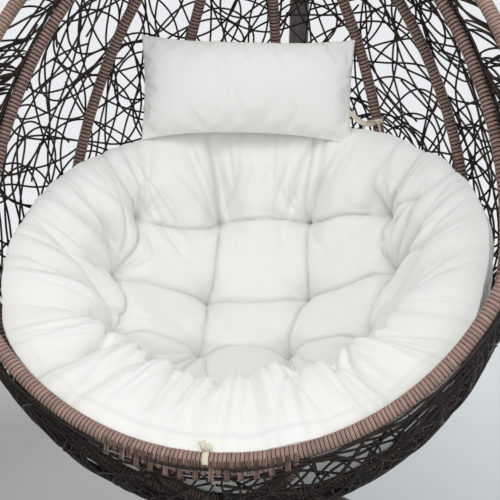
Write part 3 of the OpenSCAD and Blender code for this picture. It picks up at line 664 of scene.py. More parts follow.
@dataclass(frozen=True)
class Basket:
    """The basket's shape and where it hangs."""

    cage: EggLine = EggLine(0.4795, 1.1725, 0.321)
    hoop: EggLine = EggLine(0.510, 1.1125, 0.337)
    back: float = 0.234
    drop: float = 0.051
    tilt: float = math.radians(8.0)
    lean: float = math.radians(20.0)
    hang_y: float = -0.122756
    pivot_y: float = 0.0306672
    pivot_up: float = 1.18283
    pivot_z: float = 1.53168
    hub: float = 0.052
    rib_turns: tuple[float, ...] = (-96.6, -59.8, -31.6, 0.0, 31.6, 59.8, 96.6)
    strut_turn: float = 35.0
    strut_bend: float = 0.394623
    strut_out: float = 0.256621

    def from_cage(self, p: np.ndarray) -> np.ndarray:
        """Points of the cage's frame in the world.

        Args:
            p: Points.

        Returns:
            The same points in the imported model's frame.
        """
        c, s = math.cos(self.tilt), math.sin(self.tilt)
        x, y, z = p[..., 0], p[..., 1], p[..., 2]
        return self.from_hoop(xyz(x, self.back + y * c - z * s, -self.drop + y * s + z * c))

    def from_hoop(self, p: np.ndarray) -> np.ndarray:
        """Points of the basket's upright frame in the world.

        Args:
            p: Points.

        Returns:
            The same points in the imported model's frame.
        """
        c, s = math.cos(self.lean), math.sin(self.lean)
        y, z = p[..., 1] - self.pivot_y, p[..., 2] - self.pivot_up
        return xyz(p[..., 0], self.hang_y + y * c + z * s, self.pivot_z - y * s + z * c)

    def turned(self, v: np.ndarray) -> np.ndarray:
        """Directions of the cage's frame in the world."""
        return self.from_cage(v) - self.from_cage(np.zeros(3))

    def on_cage(self, phi: np.ndarray, turn: np.ndarray, out: float | np.ndarray = 0.0) -> np.ndarray:
        """Points of the cage, at an angle from the back and a normal angle."""
        r, z = self.cage.at(turn, out)
        return xyz(r * np.sin(phi), r * np.cos(phi), z)

    def normal(self, phi: np.ndarray, turn: np.ndarray) -> np.ndarray:
        """The cage's outward directions at the same angles."""
        return xyz(np.cos(turn) * np.sin(phi), np.cos(turn) * np.cos(phi), np.sin(turn))

    def seat_on_cage(self, p: np.ndarray, out: np.ndarray) -> tuple[np.ndarray, np.ndarray]:
        """Moves points to the cage.

        Args:
            p: Points near the cage.
            out: The distances outside it at which they end.

        Returns:
            The moved points, and the cage's outward directions there.
        """
        phi = np.arctan2(p[:, 0], p[:, 1])
        turn = self.cage.turn_at(np.hypot(p[:, 0], p[:, 1]), p[:, 2])
        return self.on_cage(phi, turn, out), self.normal(phi, turn)

    def outwards(self, p: np.ndarray) -> np.ndarray:
        """The cage's outward directions at points near it.

        Args:
            p: Points in the cage's frame.

        Returns:
            Directions of length one.
        """
        r = np.maximum(1e-9, np.hypot(p[..., 0], p[..., 1]))
        far = np.where(p[..., 2] < self.cage.half, 0.0, self.cage.side - self.cage.half)
        k = (r + far) / r
        return unit(xyz(p[..., 0] * k, p[..., 1] * k, p[..., 2] - self.cage.half))

    def hoop_point(self, turn: np.ndarray) -> np.ndarray:
        """The rim hoop's middle line on its right side, in the cage's frame.

        Args:
            turn: The outline's normal angles.

        Returns:
            One point for each angle.
        """
        r, up = self.hoop.at(turn)
        c, s = math.cos(self.tilt), math.sin(self.tilt)
        y, z = -self.back, up + self.drop
        return xyz(r, y * c + z * s, -y * s + z * c)

    def cage_reach(self, way: np.ndarray, tries: int = 28) -> np.ndarray:
        """How far the cage is from the middle of its lower ball.

        Args:
            way: Directions from that middle.
            tries: Halvings of the range that is searched.

        Returns:
            One distance for each direction.
        """
        low = np.full(way.shape[:-1], 0.2 * self.cage.half)
        high = np.full(way.shape[:-1], 2.0 * self.cage.half)
        flat, side = np.hypot(way[..., 0], way[..., 1]), self.cage.side
        for _ in range(tries):
            mid = 0.5 * (low + high)
            up = mid * way[..., 2]
            inside = mid * flat < self.cage.half - side + np.sqrt(np.maximum(0.0, side * side - up * up))
            low, high = np.where(inside, mid, low), np.where(inside, high, mid)
        return np.where(way[..., 2] <= 0.0, self.cage.half, low)


BASKET = Basket()


# ---------------------------------------------------------------- wicker


@dataclass
class SidePanel:
    """The woven surface from a side rib, or the foot's edge, round to the hoop."""

    basket: Basket
    foot_share: float = 0.12
    power: float = 0.77
    bulge: float = 0.250
    lift: float = 0.0151
    rim_lift: float = 0.0155
    edge: float = 0.058
    top_edge: float = 0.062
    hoop_edge: float = 0.066
    front: float = 179.5
    past_rib: float = 0.3

    def inner(self, t: np.ndarray) -> np.ndarray:
        """The edge along the foot and the rib.

        Args:
            t: Share of the way up.

        Returns:
            Points in the cage's frame.
        """
        cage, share = self.basket.cage, self.foot_share
        rib_turn = self.basket.rib_turns[-1] + self.past_rib
        phi = np.radians(self.front - (self.front - rib_turn) * t / share)
        foot_z = cage.half - math.sqrt(cage.half ** 2 - self.edge ** 2)
        foot = xyz(self.edge * np.sin(phi), self.edge * np.cos(phi), foot_z)
        k = np.power(np.clip((t - share) / (1.0 - share), 0.0, 1.0), self.power)
        low, high = -math.acos(self.edge / cage.half), math.acos(self.top_edge / cage.top)
        rib = self.basket.on_cage(math.radians(rib_turn), low + (high - low) * k)
        return np.where((t < share)[:, None], foot, rib)

    def outer(self, t: np.ndarray) -> np.ndarray:
        """The hoop's middle line, from the bottom to the crown block."""
        low, high = math.radians(-89.94), math.acos(self.hoop_edge / self.basket.hoop.top)
        return self.basket.hoop_point(low + (high - low) * t)

    def at(self, t: np.ndarray, s: np.ndarray, step: float = 1e-3) -> np.ndarray:
        """Points of the surface.

        Args:
            t: Share of the way up.
            s: Share of the way from the rib to the hoop.
            step: Step in t that gives the hoop's direction.

        Returns:
            Points in the cage's frame.
        """
        t = np.clip(t, 0.0, 1.0)
        a, b = self.inner(t), self.outer(t)
        run = self.outer(np.minimum(1.0, t + step)) - self.outer(np.maximum(0.0, t - step))
        n = unit(np.cross(run, a - b))
        n = n * np.sign(dot(n, self.basket.outwards(b)))[:, None]
        a, b = a + self.basket.outwards(a) * self.lift, b + n * self.rim_lift
        up = np.sum((b - a) ** 2, -1) / (8.0 * self.bulge)
        m = a * (1.0 - s)[:, None] + b * s[:, None]
        return m + self.basket.outwards(m) * (up * 4.0 * s * (1.0 - s))[:, None]

    def frame(self, t: np.ndarray, s: np.ndarray, h: float = 0.004) -> tuple[np.ndarray, ...]:
        """The surface and its directions.

        Args:
            t: Share of the way up.
            s: Share of the way from the rib to the hoop.
            h: Half the step that gives the slopes.

        Returns:
            Points, their change with t and with s, and outward directions.
        """
        p = self.at(t, s)
        dt = (self.at(t + h, s) - self.at(t - h, s)) / (2 * h)
        ds = (self.at(t, np.minimum(1.0, s + h)) - self.at(t, np.maximum(0.0, s - h))) / (2 * h)
        n = unit(np.cross(dt, ds))
        return p, dt, ds, n * np.sign(dot(n, self.basket.outwards(p)))[:, None]


@dataclass
class Weave:
    """Random open weave: long strands that wander over the basket in loose arcs."""

    basket: Basket
    strand: StrandTree
    radius: float = 0.00225
    step: float = 0.011
    sides: int = 5
    out: float = 0.0142
    wave: float = 0.0014
    back_strands: int = 120
    back_steps: int = 220
    side_strands: int = 66
    side_steps: int = 80
    shortest: int = 30
    side_shortest: int = 12
    spare: int = 4
    cell: float = 0.024
    hook: float = 7.0
    hold: float = 0.96
    sway: float = 0.28
    tightest: float = 2.4
    past_rib: float = 0.8
    hub_space: float = 0.060
    turn_back: float = 1.9
    near_hoop: float = 0.93
    near_rib: float = 0.05
    borders: int = 4
    border_apart: float = 0.07
    back_seed: int = 40
    side_seed: int = 70
    border_seed: int = 90

    def wander(self, rng: np.random.Generator, count: int, steps: int) -> tuple[np.ndarray, np.ndarray]:
        """Bends of each strand along its length, and how far each stands off the surface.

        Args:
            rng: Source of the random draws.
            count: Number of strands.
            steps: Number of steps along each.

        Returns:
            Curvatures in 1/m and offsets in metres, as arrays of steps by strands.
        """
        curve = rng.normal(0.0, self.hook, count)
        phase, beat = rng.uniform(0, FULL_TURN, count), rng.uniform(0.12, 0.3, count)
        base = rng.uniform(-0.0012, 0.0018, count)
        limit = self.tightest * self.hook
        curves, offs = [], []
        for i in range(steps):
            curve = np.clip(curve * self.hold + rng.normal(0.0, self.sway * self.hook, count), -limit, limit)
            curves.append(curve)
            offs.append(base + self.wave * np.sin(phase + beat * i * 2.0))
        return np.array(curves), np.array(offs)

    def evened(self, points: list[np.ndarray], alive: list[np.ndarray], least: int) -> list[np.ndarray]:
        """Keeps the strands that leave the most even openings, chosen one after another.

        Args:
            points: All strands' points, step by step.
            alive: Which strands still run, step by step.
            least: Steps that a strand has to be longer than.

        Returns:
            The strands that are kept, each up to its end.
        """
        track, ok = np.array(points), np.array(alive)
        lines = [track[ok[:, j], j] for j in range(track.shape[1]) if ok[:, j].sum() > least]
        keys = np.concatenate([np.floor(line / self.cell).astype(int) for line in lines])
        number = np.unique(keys, axis=0, return_inverse=True)[1].ravel()
        cells = [np.unique(part) for part in np.split(number, np.cumsum([len(line) for line in lines])[:-1])]
        crowd = np.zeros(number.max() + 1)
        left = list(range(len(lines)))
        out = []
        for _ in range(round(len(lines) / self.spare)):
            best = min(left, key=lambda i: float((crowd[cells[i]] ** 2).mean()))
            left.remove(best)
            crowd[cells[best]] += 1.0
            out.append(lines[best])
        return out

    def back_lines(self, seed: int) -> list[np.ndarray]:
        """Strands over the whole back of the cage.

        Args:
            seed: Seed of their course.

        Returns:
            Lines of points in the cage's frame.
        """
        rng = np.random.default_rng(seed)
        count, b = self.back_strands * self.spare, self.basket
        edge = math.radians(b.rib_turns[-1] + self.past_rib)
        turn = np.linspace(-1.38, 1.3, 400)
        r, z = b.cage.at(turn)
        area = np.cumsum(r * np.hypot(np.gradient(r), np.gradient(z)))
        start = np.interp(rng.uniform(0, area[-1], count), area, turn)
        phi = rng.uniform(-edge, edge, count)
        curves, offs = self.wander(rng, count, self.back_steps)
        p, n = b.seat_on_cage(b.on_cage(phi, start), self.out + offs[0])
        d = unit(np.cross(n, rng.normal(size=(count, 3))))
        points, alive = [p], [np.ones(count, bool)]
        for curve, off in zip(curves[1:], offs[1:]):
            d = unit(d + np.cross(n, d) * (curve * self.step)[:, None])
            p, n = b.seat_on_cage(p + d * self.step, self.out + off)
            d = unit(d - n * dot(d, n)[:, None])
            at, r = np.arctan2(p[:, 0], p[:, 1]), np.hypot(p[:, 0], p[:, 1])
            side = xyz(np.cos(at), -np.sin(at), 0.0)
            into = dot(d, side) * np.sign(at)
            over = (np.abs(at) > edge) & (np.abs(at) < edge + 0.3) & (into > 0)
            back = unit(d - side * (self.turn_back * into * np.sign(at))[:, None])
            d = np.where(over[:, None], back, d)
            points.append(p)
            alive.append(alive[-1] & (np.abs(at) < edge + 0.06) & (r > self.hub_space))
        return self.evened(points, alive, self.shortest)

    def panels(self, lines: Sequence[np.ndarray]) -> list[list[np.ndarray]]:
        """Splits the strands of the back where they cross the ribs.

        Args:
            lines: Strands in the cage's frame.

        Returns:
            The pieces of each panel, in the world.
        """
        turns = np.radians(self.basket.rib_turns)
        out: list[list[np.ndarray]] = [[] for _ in turns[1:]]
        for line in lines:
            panel = np.clip(np.searchsorted(turns, np.arctan2(line[:, 0], line[:, 1])) - 1, 0, len(out) - 1)
            edges = np.concatenate([[0], np.nonzero(np.diff(panel))[0] + 1, [len(line)]])
            for a, b in zip(edges[:-1], edges[1:]):
                part = line[a:b + 1]
                if len(part) > 1:
                    out[int(panel[a])].append(self.basket.from_cage(part))
        return out

    def side_lines(self, seed: int) -> list[np.ndarray]:
        """Strands over the right side panel, from the rib round to the hoop.

        Args:
            seed: Seed of their course.

        Returns:
            Lines of points in the cage's frame.
        """
        rng = np.random.default_rng(seed)
        panel = SidePanel(self.basket)
        count = self.side_strands * self.spare
        t = rng.uniform(0.0, 1.0, count) ** 1.25
        s = rng.uniform(0.0, 1.0, count)
        lean = rng.uniform(0.25, 1.0, count) * rng.choice((-1.0, 1.0), count)
        head = math.pi / 2 * rng.choice((-1.0, 1.0), count) + lean
        points, alive = [], [np.ones(count, bool)]
        for curve, off in zip(*self.wander(rng, count, self.side_steps)):
            p, dt, ds, n = panel.frame(t, s)
            points.append(p + n * off[:, None])
            es = unit(ds)
            et = unit(dt - es * dot(dt, es)[:, None])
            head = head + curve * self.step
            leaves = ((s > self.near_hoop) & (np.cos(head) > 0)) | ((s < self.near_rib) & (np.cos(head) < 0))
            head = np.where(leaves, math.pi - head, head)
            way = es * np.cos(head)[:, None] + et * np.sin(head)[:, None]
            rate = dot(dt, et)
            step_t = self.step * dot(way, et) / np.where(np.abs(rate) < 0.05, 0.05, rate)
            step_s = (self.step * dot(way, es) - step_t * dot(dt, es)) / np.maximum(0.02, np.linalg.norm(ds, axis=1))
            t = t + step_t
            alive.append(alive[-1] & (t > 0.0) & (t < 0.99))
            t, s = np.clip(t, 0.0, 1.0), np.clip(s + step_s, 0.0, 1.0)
        return self.evened(points, alive[:-1], self.side_shortest)

    def border_lines(self, seed: int) -> list[np.ndarray]:
        """Strands that run along the hoop and close the right side's edge.

        Args:
            seed: Seed of their course.

        Returns:
            Lines of points in the cage's frame.
        """
        rng = np.random.default_rng(seed)
        panel = SidePanel(self.basket)
        out = []
        for k in range(self.borders):
            low = rng.uniform(0.0, 0.25) if k > 1 else 0.0
            t = np.linspace(low, rng.uniform(0.5, 0.99), 150)
            waves = sum(rng.uniform(0.01, 0.045) * np.sin(t * f + rng.uniform(0, 6)) for f in (9.0, 21.0, 43.0))
            p = panel.at(t, np.clip(0.97 - self.border_apart * k + waves, 0.02, 0.995))
            out.append(p + self.basket.outwards(p) * rng.uniform(-0.001, 0.002))
        return out

    def build(self) -> Made:
        """All panels of strands.

        Returns:
            Each panel with the node of the solid that it stands for.
        """
        jobs = [(f"back_weave_{i + 1}", f"weave_back_{i + 1}", lines, 3 + i)
                for i, lines in enumerate(self.panels(self.back_lines(self.back_seed)))]
        for i, side in enumerate(("left", "right")):
            flip = MIRROR if side == "left" else 1.0
            lines = self.side_lines(self.side_seed + i) + self.border_lines(self.border_seed + i)
            jobs.append((f"side_weave_{side}", f"weave_front_{side}",
                         [self.basket.from_cage(line * flip) for line in lines], 13 + i))
        return [(self.strand.make(name, lines, self.radius, self.sides, seed, DARK_STRAND), node)
                for name, node, lines, seed in jobs]


@dataclass
class Winding:
    """The strips wound round the hoop, the ribs and the two front struts."""

    basket: Basket
    tree: WindingTree
    hoop_pitch: float = 0.0074
    rib_pitch: float = 0.0078
    hoop_radius: float = 0.0118
    rib_radius: float = 0.0102
    hoop_height: float = 0.0016
    rib_height: float = 0.0013
    hoop_tilt: float = 0.06
    rib_tilt: float = 0.07
    filled: float = 0.97
    crown: float = 0.021
    sunk: float = 0.0004
    across: tuple[float, ...] = (0.0, 0.03, 0.10, 0.36, 0.64, 0.90, 0.97, 1.0)
    lift: tuple[float, ...] = (0.0, 0.5, 0.9, 1.0, 1.0, 0.9, 0.5, 0.0)

    def band(self, name: str, radius: float, height: float, pitch: float, sides: int) -> bpy.types.Object:
        """One turn of the strip: a closed flat ring round Z.

        Args:
            name: The piece's name.
            radius: Radius of what it is wound on.
            height: How far it stands off that.
            pitch: Room along Z.
            sides: Points round it.

        Returns:
            The ring, with the place across the strip stored on it.
        """
        angle = np.linspace(0, FULL_TURN, sides, endpoint=False)
        rows = []
        for a, up in zip(self.across, self.lift):
            r = radius + (height * up if up > 0 else -self.sunk)
            rows.append(xyz(r * np.cos(angle), r * np.sin(angle), (a - 0.5) * pitch * self.filled))
        obj = mesh_object(name, np.concatenate(rows), grid_faces(len(rows), sides, True))
        keep_values(obj, "across", np.repeat(self.across, sides))
        return obj

    def rib_line(self, number: int) -> np.ndarray:
        """A rib's middle line from hub to hub.

        Args:
            number: The rib, counted from 0.

        Returns:
            Points in the world.
        """
        b = self.basket
        turn = np.linspace(-math.acos(b.hub / b.cage.half), math.acos(b.hub / b.cage.top), 220)
        return b.from_cage(b.on_cage(math.radians(b.rib_turns[number]), turn))

    def hoop_line(self) -> np.ndarray:
        """The rim hoop's middle line from one side of the crown block to the other.

        Returns:
            Points in the world.
        """
        hoop = self.basket.hoop
        r, z = hoop.at(np.linspace(-math.pi / 2, math.acos(self.crown / hoop.top), 260))
        right = xyz(r, 0.0, z)
        return self.basket.from_hoop(np.concatenate([right[:0:-1] * MIRROR, right]))

    def strut_line(self, side: float) -> np.ndarray:
        """The middle line of one front strut.

        Args:
            side: -1 for the left strut and 1 for the right.

        Returns:
            Points in the world.
        """
        b = self.basket
        r = np.linspace(b.hub, b.strut_out, 60)
        phi = math.radians(180.0 + side * b.strut_turn)
        rise = b.strut_bend - np.sqrt(b.strut_bend ** 2 - r * r)
        return b.from_cage(xyz(r * math.sin(phi), r * math.cos(phi), rise))

    def build(self) -> Made:
        """The windings of the hoop, the ribs and the struts.

        Returns:
            Each winding with the solid that it stands for.
        """
        hoop_turn = self.band("hoop_turn", self.hoop_radius, self.hoop_height, self.hoop_pitch, 20)
        rib_turn = self.band("rib_turn", self.rib_radius, self.rib_height, self.rib_pitch, 12)
        hoop = self.tree.make("hoop_winding", [self.hoop_line()], hoop_turn, self.hoop_pitch, self.hoop_tilt, 5,
                              HOOP_STRIP)
        made = [(hoop, "hoop_wrap")]
        jobs = [(f"rib_winding_{i + 1}", [self.rib_line(i)], 20 + i) for i in range(len(self.basket.rib_turns))]
        jobs.append(("strut_windings", [self.strut_line(-1.0), self.strut_line(1.0)], 31))
        for name, lines, seed in jobs:
            made.append((self.tree.make(name, lines, rib_turn, self.rib_pitch, self.rib_tilt, seed, RIB_STRIP),
                         "rib_wraps"))
        bpy.data.objects.remove(hoop_turn)
        bpy.data.objects.remove(rib_turn)
        return made


@dataclass
class RimLashing:
    """Short bundles of strands that lash the weave to the bottom of the hoop."""

    basket: Basket
    strand: StrandTree
    bundles: int = 26
    reach: float = 0.165
    aside: float = 0.02
    radius: float = 0.00115
    apart: float = 0.0023
    rest: float = 0.0140
    drops: tuple[float, float] = (0.020, 0.010)
    shorter: float = 0.45
    strands: int = 4
    sides: int = 6
    seed: int = 8

    def bundle(self, x: float, drop: float, rng: np.random.Generator) -> list[np.ndarray]:
        """Strands side by side, from the hoop's front down and in behind the weave.

        Args:
            x: The bundle's place across the basket.
            drop: How far it hangs.
            rng: Source of the random draws.

        Returns:
            One line of points for each strand, in the world.
        """
        half = self.basket.hoop.half
        angles = sweep(-12.0, -68.0, 6)
        down = np.linspace(0.2, 1.0, 5)
        out = []
        for k in range(self.strands):
            at = x + (k - (self.strands - 1) / 2) * self.apart
            middle_z = half + half * math.sin(-math.acos(at / half))
            over = xyz(at, -self.rest * np.cos(angles), middle_z + self.rest * np.sin(angles))
            hang = xyz(at + rng.normal(0, 0.0003) * down, over[-1, 1] + 0.0015 * down, over[-1, 2] - drop * down)
            tuck = hang[-1] + np.array([[0.0, 0.0022, -0.0014], [0.0, 0.0060, -0.0010], [0.0, 0.0100, 0.0010]])
            out.append(self.basket.from_hoop(np.concatenate([over, hang, tuck])))
        return out

    def build(self) -> bpy.types.Object:
        """All bundles round the bottom of the hoop.

        Returns:
            All bundles as one piece.
        """
        rng = np.random.default_rng(self.seed)
        lines = []
        for i in range(self.bundles):
            x = -self.reach + 2.0 * self.reach * (i + 0.5) / self.bundles + rng.normal(0, 0.0005)
            drop = self.drops[i % 2] * (1.0 - self.shorter * (x / self.reach) ** 2)
            lines += self.bundle(x - self.aside, drop, rng)
        return self.strand.make("rim_lashing", lines, self.radius, self.sides, 77, HOOP_LASH)


# ---------------------------------------------------------------- cushions


@dataclass(frozen=True)
class Fold:
    """A fold in the cushion's cover, between two directions from the cushion's middle."""

    start: np.ndarray
    end: np.ndarray
    width: float
    deep: float
    bow: float = 0.0
    open_end: bool = False
    fade: float = 0.5

    def lie(self, way: np.ndarray, radius: float) -> tuple[np.ndarray, np.ndarray, np.ndarray]:
        """Where directions lie beside the fold.

        Args:
            way: Directions from the cushion's middle.
            radius: The cushion's radius, in metres.

        Returns:
            Share of the way along the fold, distance from it, and the fold's strength.
        """
        n = unit(np.cross(self.start, self.end))
        span = math.acos(float(np.clip(self.start @ self.end, -1, 1)))
        place = np.arctan2(dot(way, np.cross(n, self.start)), dot(way, self.start)) / span
        k = np.clip(place, 0.0, 1.0)
        hump = 4.0 * k * (1.0 - k)
        off = np.arcsin(np.clip(dot(way, n), -1, 1)) * radius - self.bow * hump
        inside = smooth((place + 0.06) / 0.06) * smooth((1.06 - place) / 0.06)
        return k, np.abs(off), inside * (np.power(1.0 - k, self.fade) if self.open_end else 1.0 - 0.5 * hump)

    def depth(self, way: np.ndarray, radius: float) -> np.ndarray:
        """How far the fold draws the cover in at each direction.

        Args:
            way: Directions from the cushion's middle.
            radius: The cushion's radius, in metres.

        Returns:
            One distance for each direction, in metres.
        """
        k, off, inside = self.lie(way, radius)
        width = self.width * (1.0 + 0.8 * k * (1.0 - k))
        return self.deep * inside * (0.66 * np.exp(-off / width) + 0.34 * np.exp(-((off / (5.5 * width)) ** 2)))

    def line(self, way: np.ndarray, radius: float) -> np.ndarray:
        """The thin line of painted shade at the bottom of the fold, from 0 to 1."""
        off, inside = self.lie(way, radius)[1:]
        return np.sqrt(inside) * np.exp(-off / 0.0034) * (min(1.0, self.deep / 0.03) if self.open_end else 1.0)


@dataclass(frozen=True)
class Pleat:
    """Limits of one kind of pleat at the hoop: where it starts, as a share, its width and its depth."""

    start: tuple[float, float]
    width: tuple[float, float]
    deep: tuple[float, float]


@dataclass(frozen=True)
class Fan:
    """How an outer tuft's long wrinkles lie: the angle between them, their width, fading and reach."""

    apart: float
    wide: float
    fade: float
    reach: tuple[float, float]


@dataclass
class SeatCushion:
    """The round tufted cushion that fills the bowl of the basket."""

    basket: Basket
    around: int = 640
    face_rings: int = 128
    nose_rings: int = 34
    far_rings: int = 30
    axis: float = math.radians(46.7)
    front: float = math.radians(-15.0)
    thin: float = 0.108
    seat: float = 0.085
    seat_share: tuple[float, float] = (25.0, 50.0)
    clear: float = 0.0125
    edge: float = 0.84
    hoop_low: float = 0.4556
    hoop_rise: float = 0.082
    hoop_gap: float = 0.0060
    tuft_rows: tuple[float, ...] = (52.3, 75.0, 100.8)
    tuft_steps: tuple[float, ...] = (0.180, 0.187, 0.159)
    tuft_shifts: tuple[float, ...] = (-0.034, -0.027, -0.015)
    row_slants: tuple[float, ...] = (3.6, 2.2, 0.6)
    outer_turns: tuple[float, ...] = (-7.5, 5.0, 4.0)
    # Painted shade along the seam line in front: its place as a share of the reach, its width and its strength.
    seam: float = 0.9968
    seam_wide: float = 0.0008
    seam_shade: float = 0.4
    tuft_face: float = 0.344
    tuft_deep: float = 0.050
    tuft_wide: float = 0.021
    crease_wide: float = 0.0052
    crease_deep: float = 0.029
    # Wrinkles deeper than this also get painted shade at their bottoms.
    shaded_from: float = 0.012
    wrinkles: int = 15
    long_wrinkles: int = 6
    front_fan: Fan = Fan(0.16, 1.9, 0.3, (1.8, 5.0))
    outer_fan: Fan = Fan(0.22, 1.0, 0.5, (0.45, 0.95))
    gathers: int = 170
    long_pleat: Pleat = Pleat((0.42, 0.66), (0.016, 0.034), (0.006, 0.015))
    short_pleat: Pleat = Pleat((0.74, 0.92), (0.007, 0.016), (0.003, 0.010))
    fold_seed: int = 21
    gather_seed: int = 5
    waver_seed: int = 9
    lump_seed: int = 10
    puff: float = 0.012
    puff_until: float = 0.03
    tuck: tuple[float, float] = (0.8, -0.5)
    rim: tuple[float, float] = (0.155, 0.125)
    groove: tuple[float, float, float] = (0.992, 0.004, 0.003)
    radius: float = 0.39

    def tufts(self) -> np.ndarray:
        """The tufts, row by row.

        Returns:
            Their directions of length one from the cushion's middle.
        """
        out = []
        for row, step, shift, slant, outer in zip(self.tuft_rows, self.tuft_steps, self.tuft_shifts,
                                                  self.row_slants, self.outer_turns):
            for col in (-1.5, -0.5, 0.5, 1.5):
                across = (col * step + shift) / self.tuft_face
                a = math.radians(row + slant * col + (outer if abs(col) > 1 else 0.0))
                out.append((math.sin(across), math.cos(across) * math.sin(a), -math.cos(across) * math.cos(a)))
        return np.array(out)

    def way(self, spin: np.ndarray, out: np.ndarray) -> np.ndarray:
        """Directions at an angle round the cushion's middle and an angle away from it.

        Args:
            spin: Angles round the cushion's middle.
            out: Angles away from it.

        Returns:
            Directions of length one in the cage's frame.
        """
        axis = np.array([0.0, math.sin(self.axis), -math.cos(self.axis)])
        up = np.array([0.0, math.cos(self.axis), math.sin(self.axis)])
        side = np.array([1.0, 0.0, 0.0])
        ring = up * np.cos(spin)[..., None] + side * np.sin(spin)[..., None]
        return axis * np.cos(out)[..., None] + ring * np.sin(out)[..., None]

    def reach(self, spin: np.ndarray) -> np.ndarray:
        """How far the cushion reaches from its middle, as an angle.

        Args:
            spin: Angles round the cushion's middle.

        Returns:
            One angle for each.
        """
        corner = np.where(np.cos(spin) > 0, np.sin(2 * spin) ** 2, 0.0)
        back, front = np.maximum(np.cos(spin), 0.0) ** 2, np.maximum(-np.cos(spin), 0.0) ** 2
        return np.radians(76.0 + np.cos(spin) + 13.7 * np.sin(spin) ** 2 + 1.6 * corner + 4.6 * back ** 2 + 2.8 * front)

    def folds(self) -> tuple[list[Fold], list[Fold]]:
        """The folds that the tufts draw in the cover.

        Returns:
            The creases between tufts, and the wrinkles that fan out from them.
        """
        rng = np.random.default_rng(self.fold_seed)
        tufts = self.tufts()
        axis = self.way(np.zeros(1), np.zeros(1))[0]
        main, fine = [], []
        for i, t in enumerate(tufts):
            row, col = divmod(i, 4)
            for step, joined in ((1, col < 3), (4, row < 2)):
                if joined:
                    main.append(Fold(t, tufts[i + step], self.crease_wide, self.crease_deep, rng.normal(0, 0.006)))
            e1 = unit(np.cross(t, axis + np.array([0.13, 0.02, 0.0])))
            e2 = np.cross(t, e1)
            for _ in range(self.wrinkles):
                a, reach = rng.uniform(0, FULL_TURN), rng.uniform(0.09, 0.26)
                end = unit(t + (e1 * math.cos(a) + e2 * math.sin(a)) * reach)
                wide, deep = rng.uniform(0.0035, 0.007), rng.uniform(0.003, 0.008)
                fine.append(Fold(t, end, wide, deep, rng.normal(0, 0.004), True))
            if row != 1 or col in (0, 3):
                fine += self.fan(rng, t, e1, e2, row == 0)
        return main, fine

    def fan(self, rng: np.random.Generator, t: np.ndarray, e1: np.ndarray, e2: np.ndarray,
            in_front: bool) -> list[Fold]:
        """Long wrinkles from an outer tuft towards the cushion's edge.

        Args:
            rng: Source of the random draws.
            t: The tuft's direction.
            e1: A direction across it.
            e2: The direction across both.
            in_front: Whether the tuft is in the front row, whose wrinkles run on to the hoop.

        Returns:
            One fold for each wrinkle.
        """
        axis = self.way(np.zeros(1), np.zeros(1))[0]
        away = unit(np.array([1.2 * t[0], -0.61, -0.79])) if in_front else unit(t - axis * (t @ axis))
        lead = math.atan2(float(away @ e2), float(away @ e1))
        fan = self.front_fan if in_front else self.outer_fan
        out = []
        middle = (self.long_wrinkles - 1) / 2
        for k in range(self.long_wrinkles):
            a = lead + (k - middle) * fan.apart + rng.normal(0, 0.05)
            end = unit(t + (e1 * math.cos(a) + e2 * math.sin(a)) * rng.uniform(*fan.reach))
            deep = rng.uniform(0.018, 0.030) if abs(k - middle) < 1 else rng.uniform(0.007, 0.016)
            width = fan.wide * rng.uniform(0.0045, 0.0085)
            out.append(Fold(t, end, width, deep, rng.normal(0, 0.012), True, fan.fade))
        return out

    def pleats(self, spin: np.ndarray, share: np.ndarray) -> np.ndarray:
        """Short gathers across the bolster, where the cover is sewn to its edge.

        Args:
            spin: Angle round the cushion's middle.
            share: Share of the reach.

        Returns:
            How far they draw the cover in, in metres.
        """
        rng = np.random.default_rng(self.gather_seed)
        out = np.zeros_like(spin)
        for _ in range(self.gathers):
            s0 = rng.uniform(0, FULL_TURN)
            long_one = rng.uniform() < 0.16 + 0.24 * (math.cos(s0) < 0)
            pleat = self.long_pleat if long_one else self.short_pleat
            k0, k1 = rng.uniform(*pleat.start), rng.uniform(0.95, 1.0)
            width, deep = rng.uniform(*pleat.width), rng.uniform(*pleat.deep)
            deep *= 1.0 - 0.55 * max(0.0, -math.cos(s0))
            slant = rng.normal(0, 0.25)
            off = np.abs(np.angle(np.exp(1j * (spin - s0 - slant * (share - 0.85)))))
            drawn = deep * smooth((share - k0) / 0.14) * smooth((k1 + 0.06 - share) / 0.06)
            out = np.maximum(out, drawn * np.exp(-off / width)) + 0.2 * drawn * np.exp(-((off / 0.05) ** 2))
        return out

    def wavered(self, way: np.ndarray) -> np.ndarray:
        """Directions moved a little, so that no crease runs dead straight.

        Args:
            way: Directions from the cushion's middle.

        Returns:
            The moved directions.
        """
        rng = np.random.default_rng(self.waver_seed)
        bent = way.copy()
        for _ in range(6):
            k = rng.normal(size=3) * rng.uniform(4, 15)
            bent = bent + np.sin(way @ k + rng.uniform(0, 6))[..., None] * rng.normal(size=3) * 0.0045
        return unit(bent)

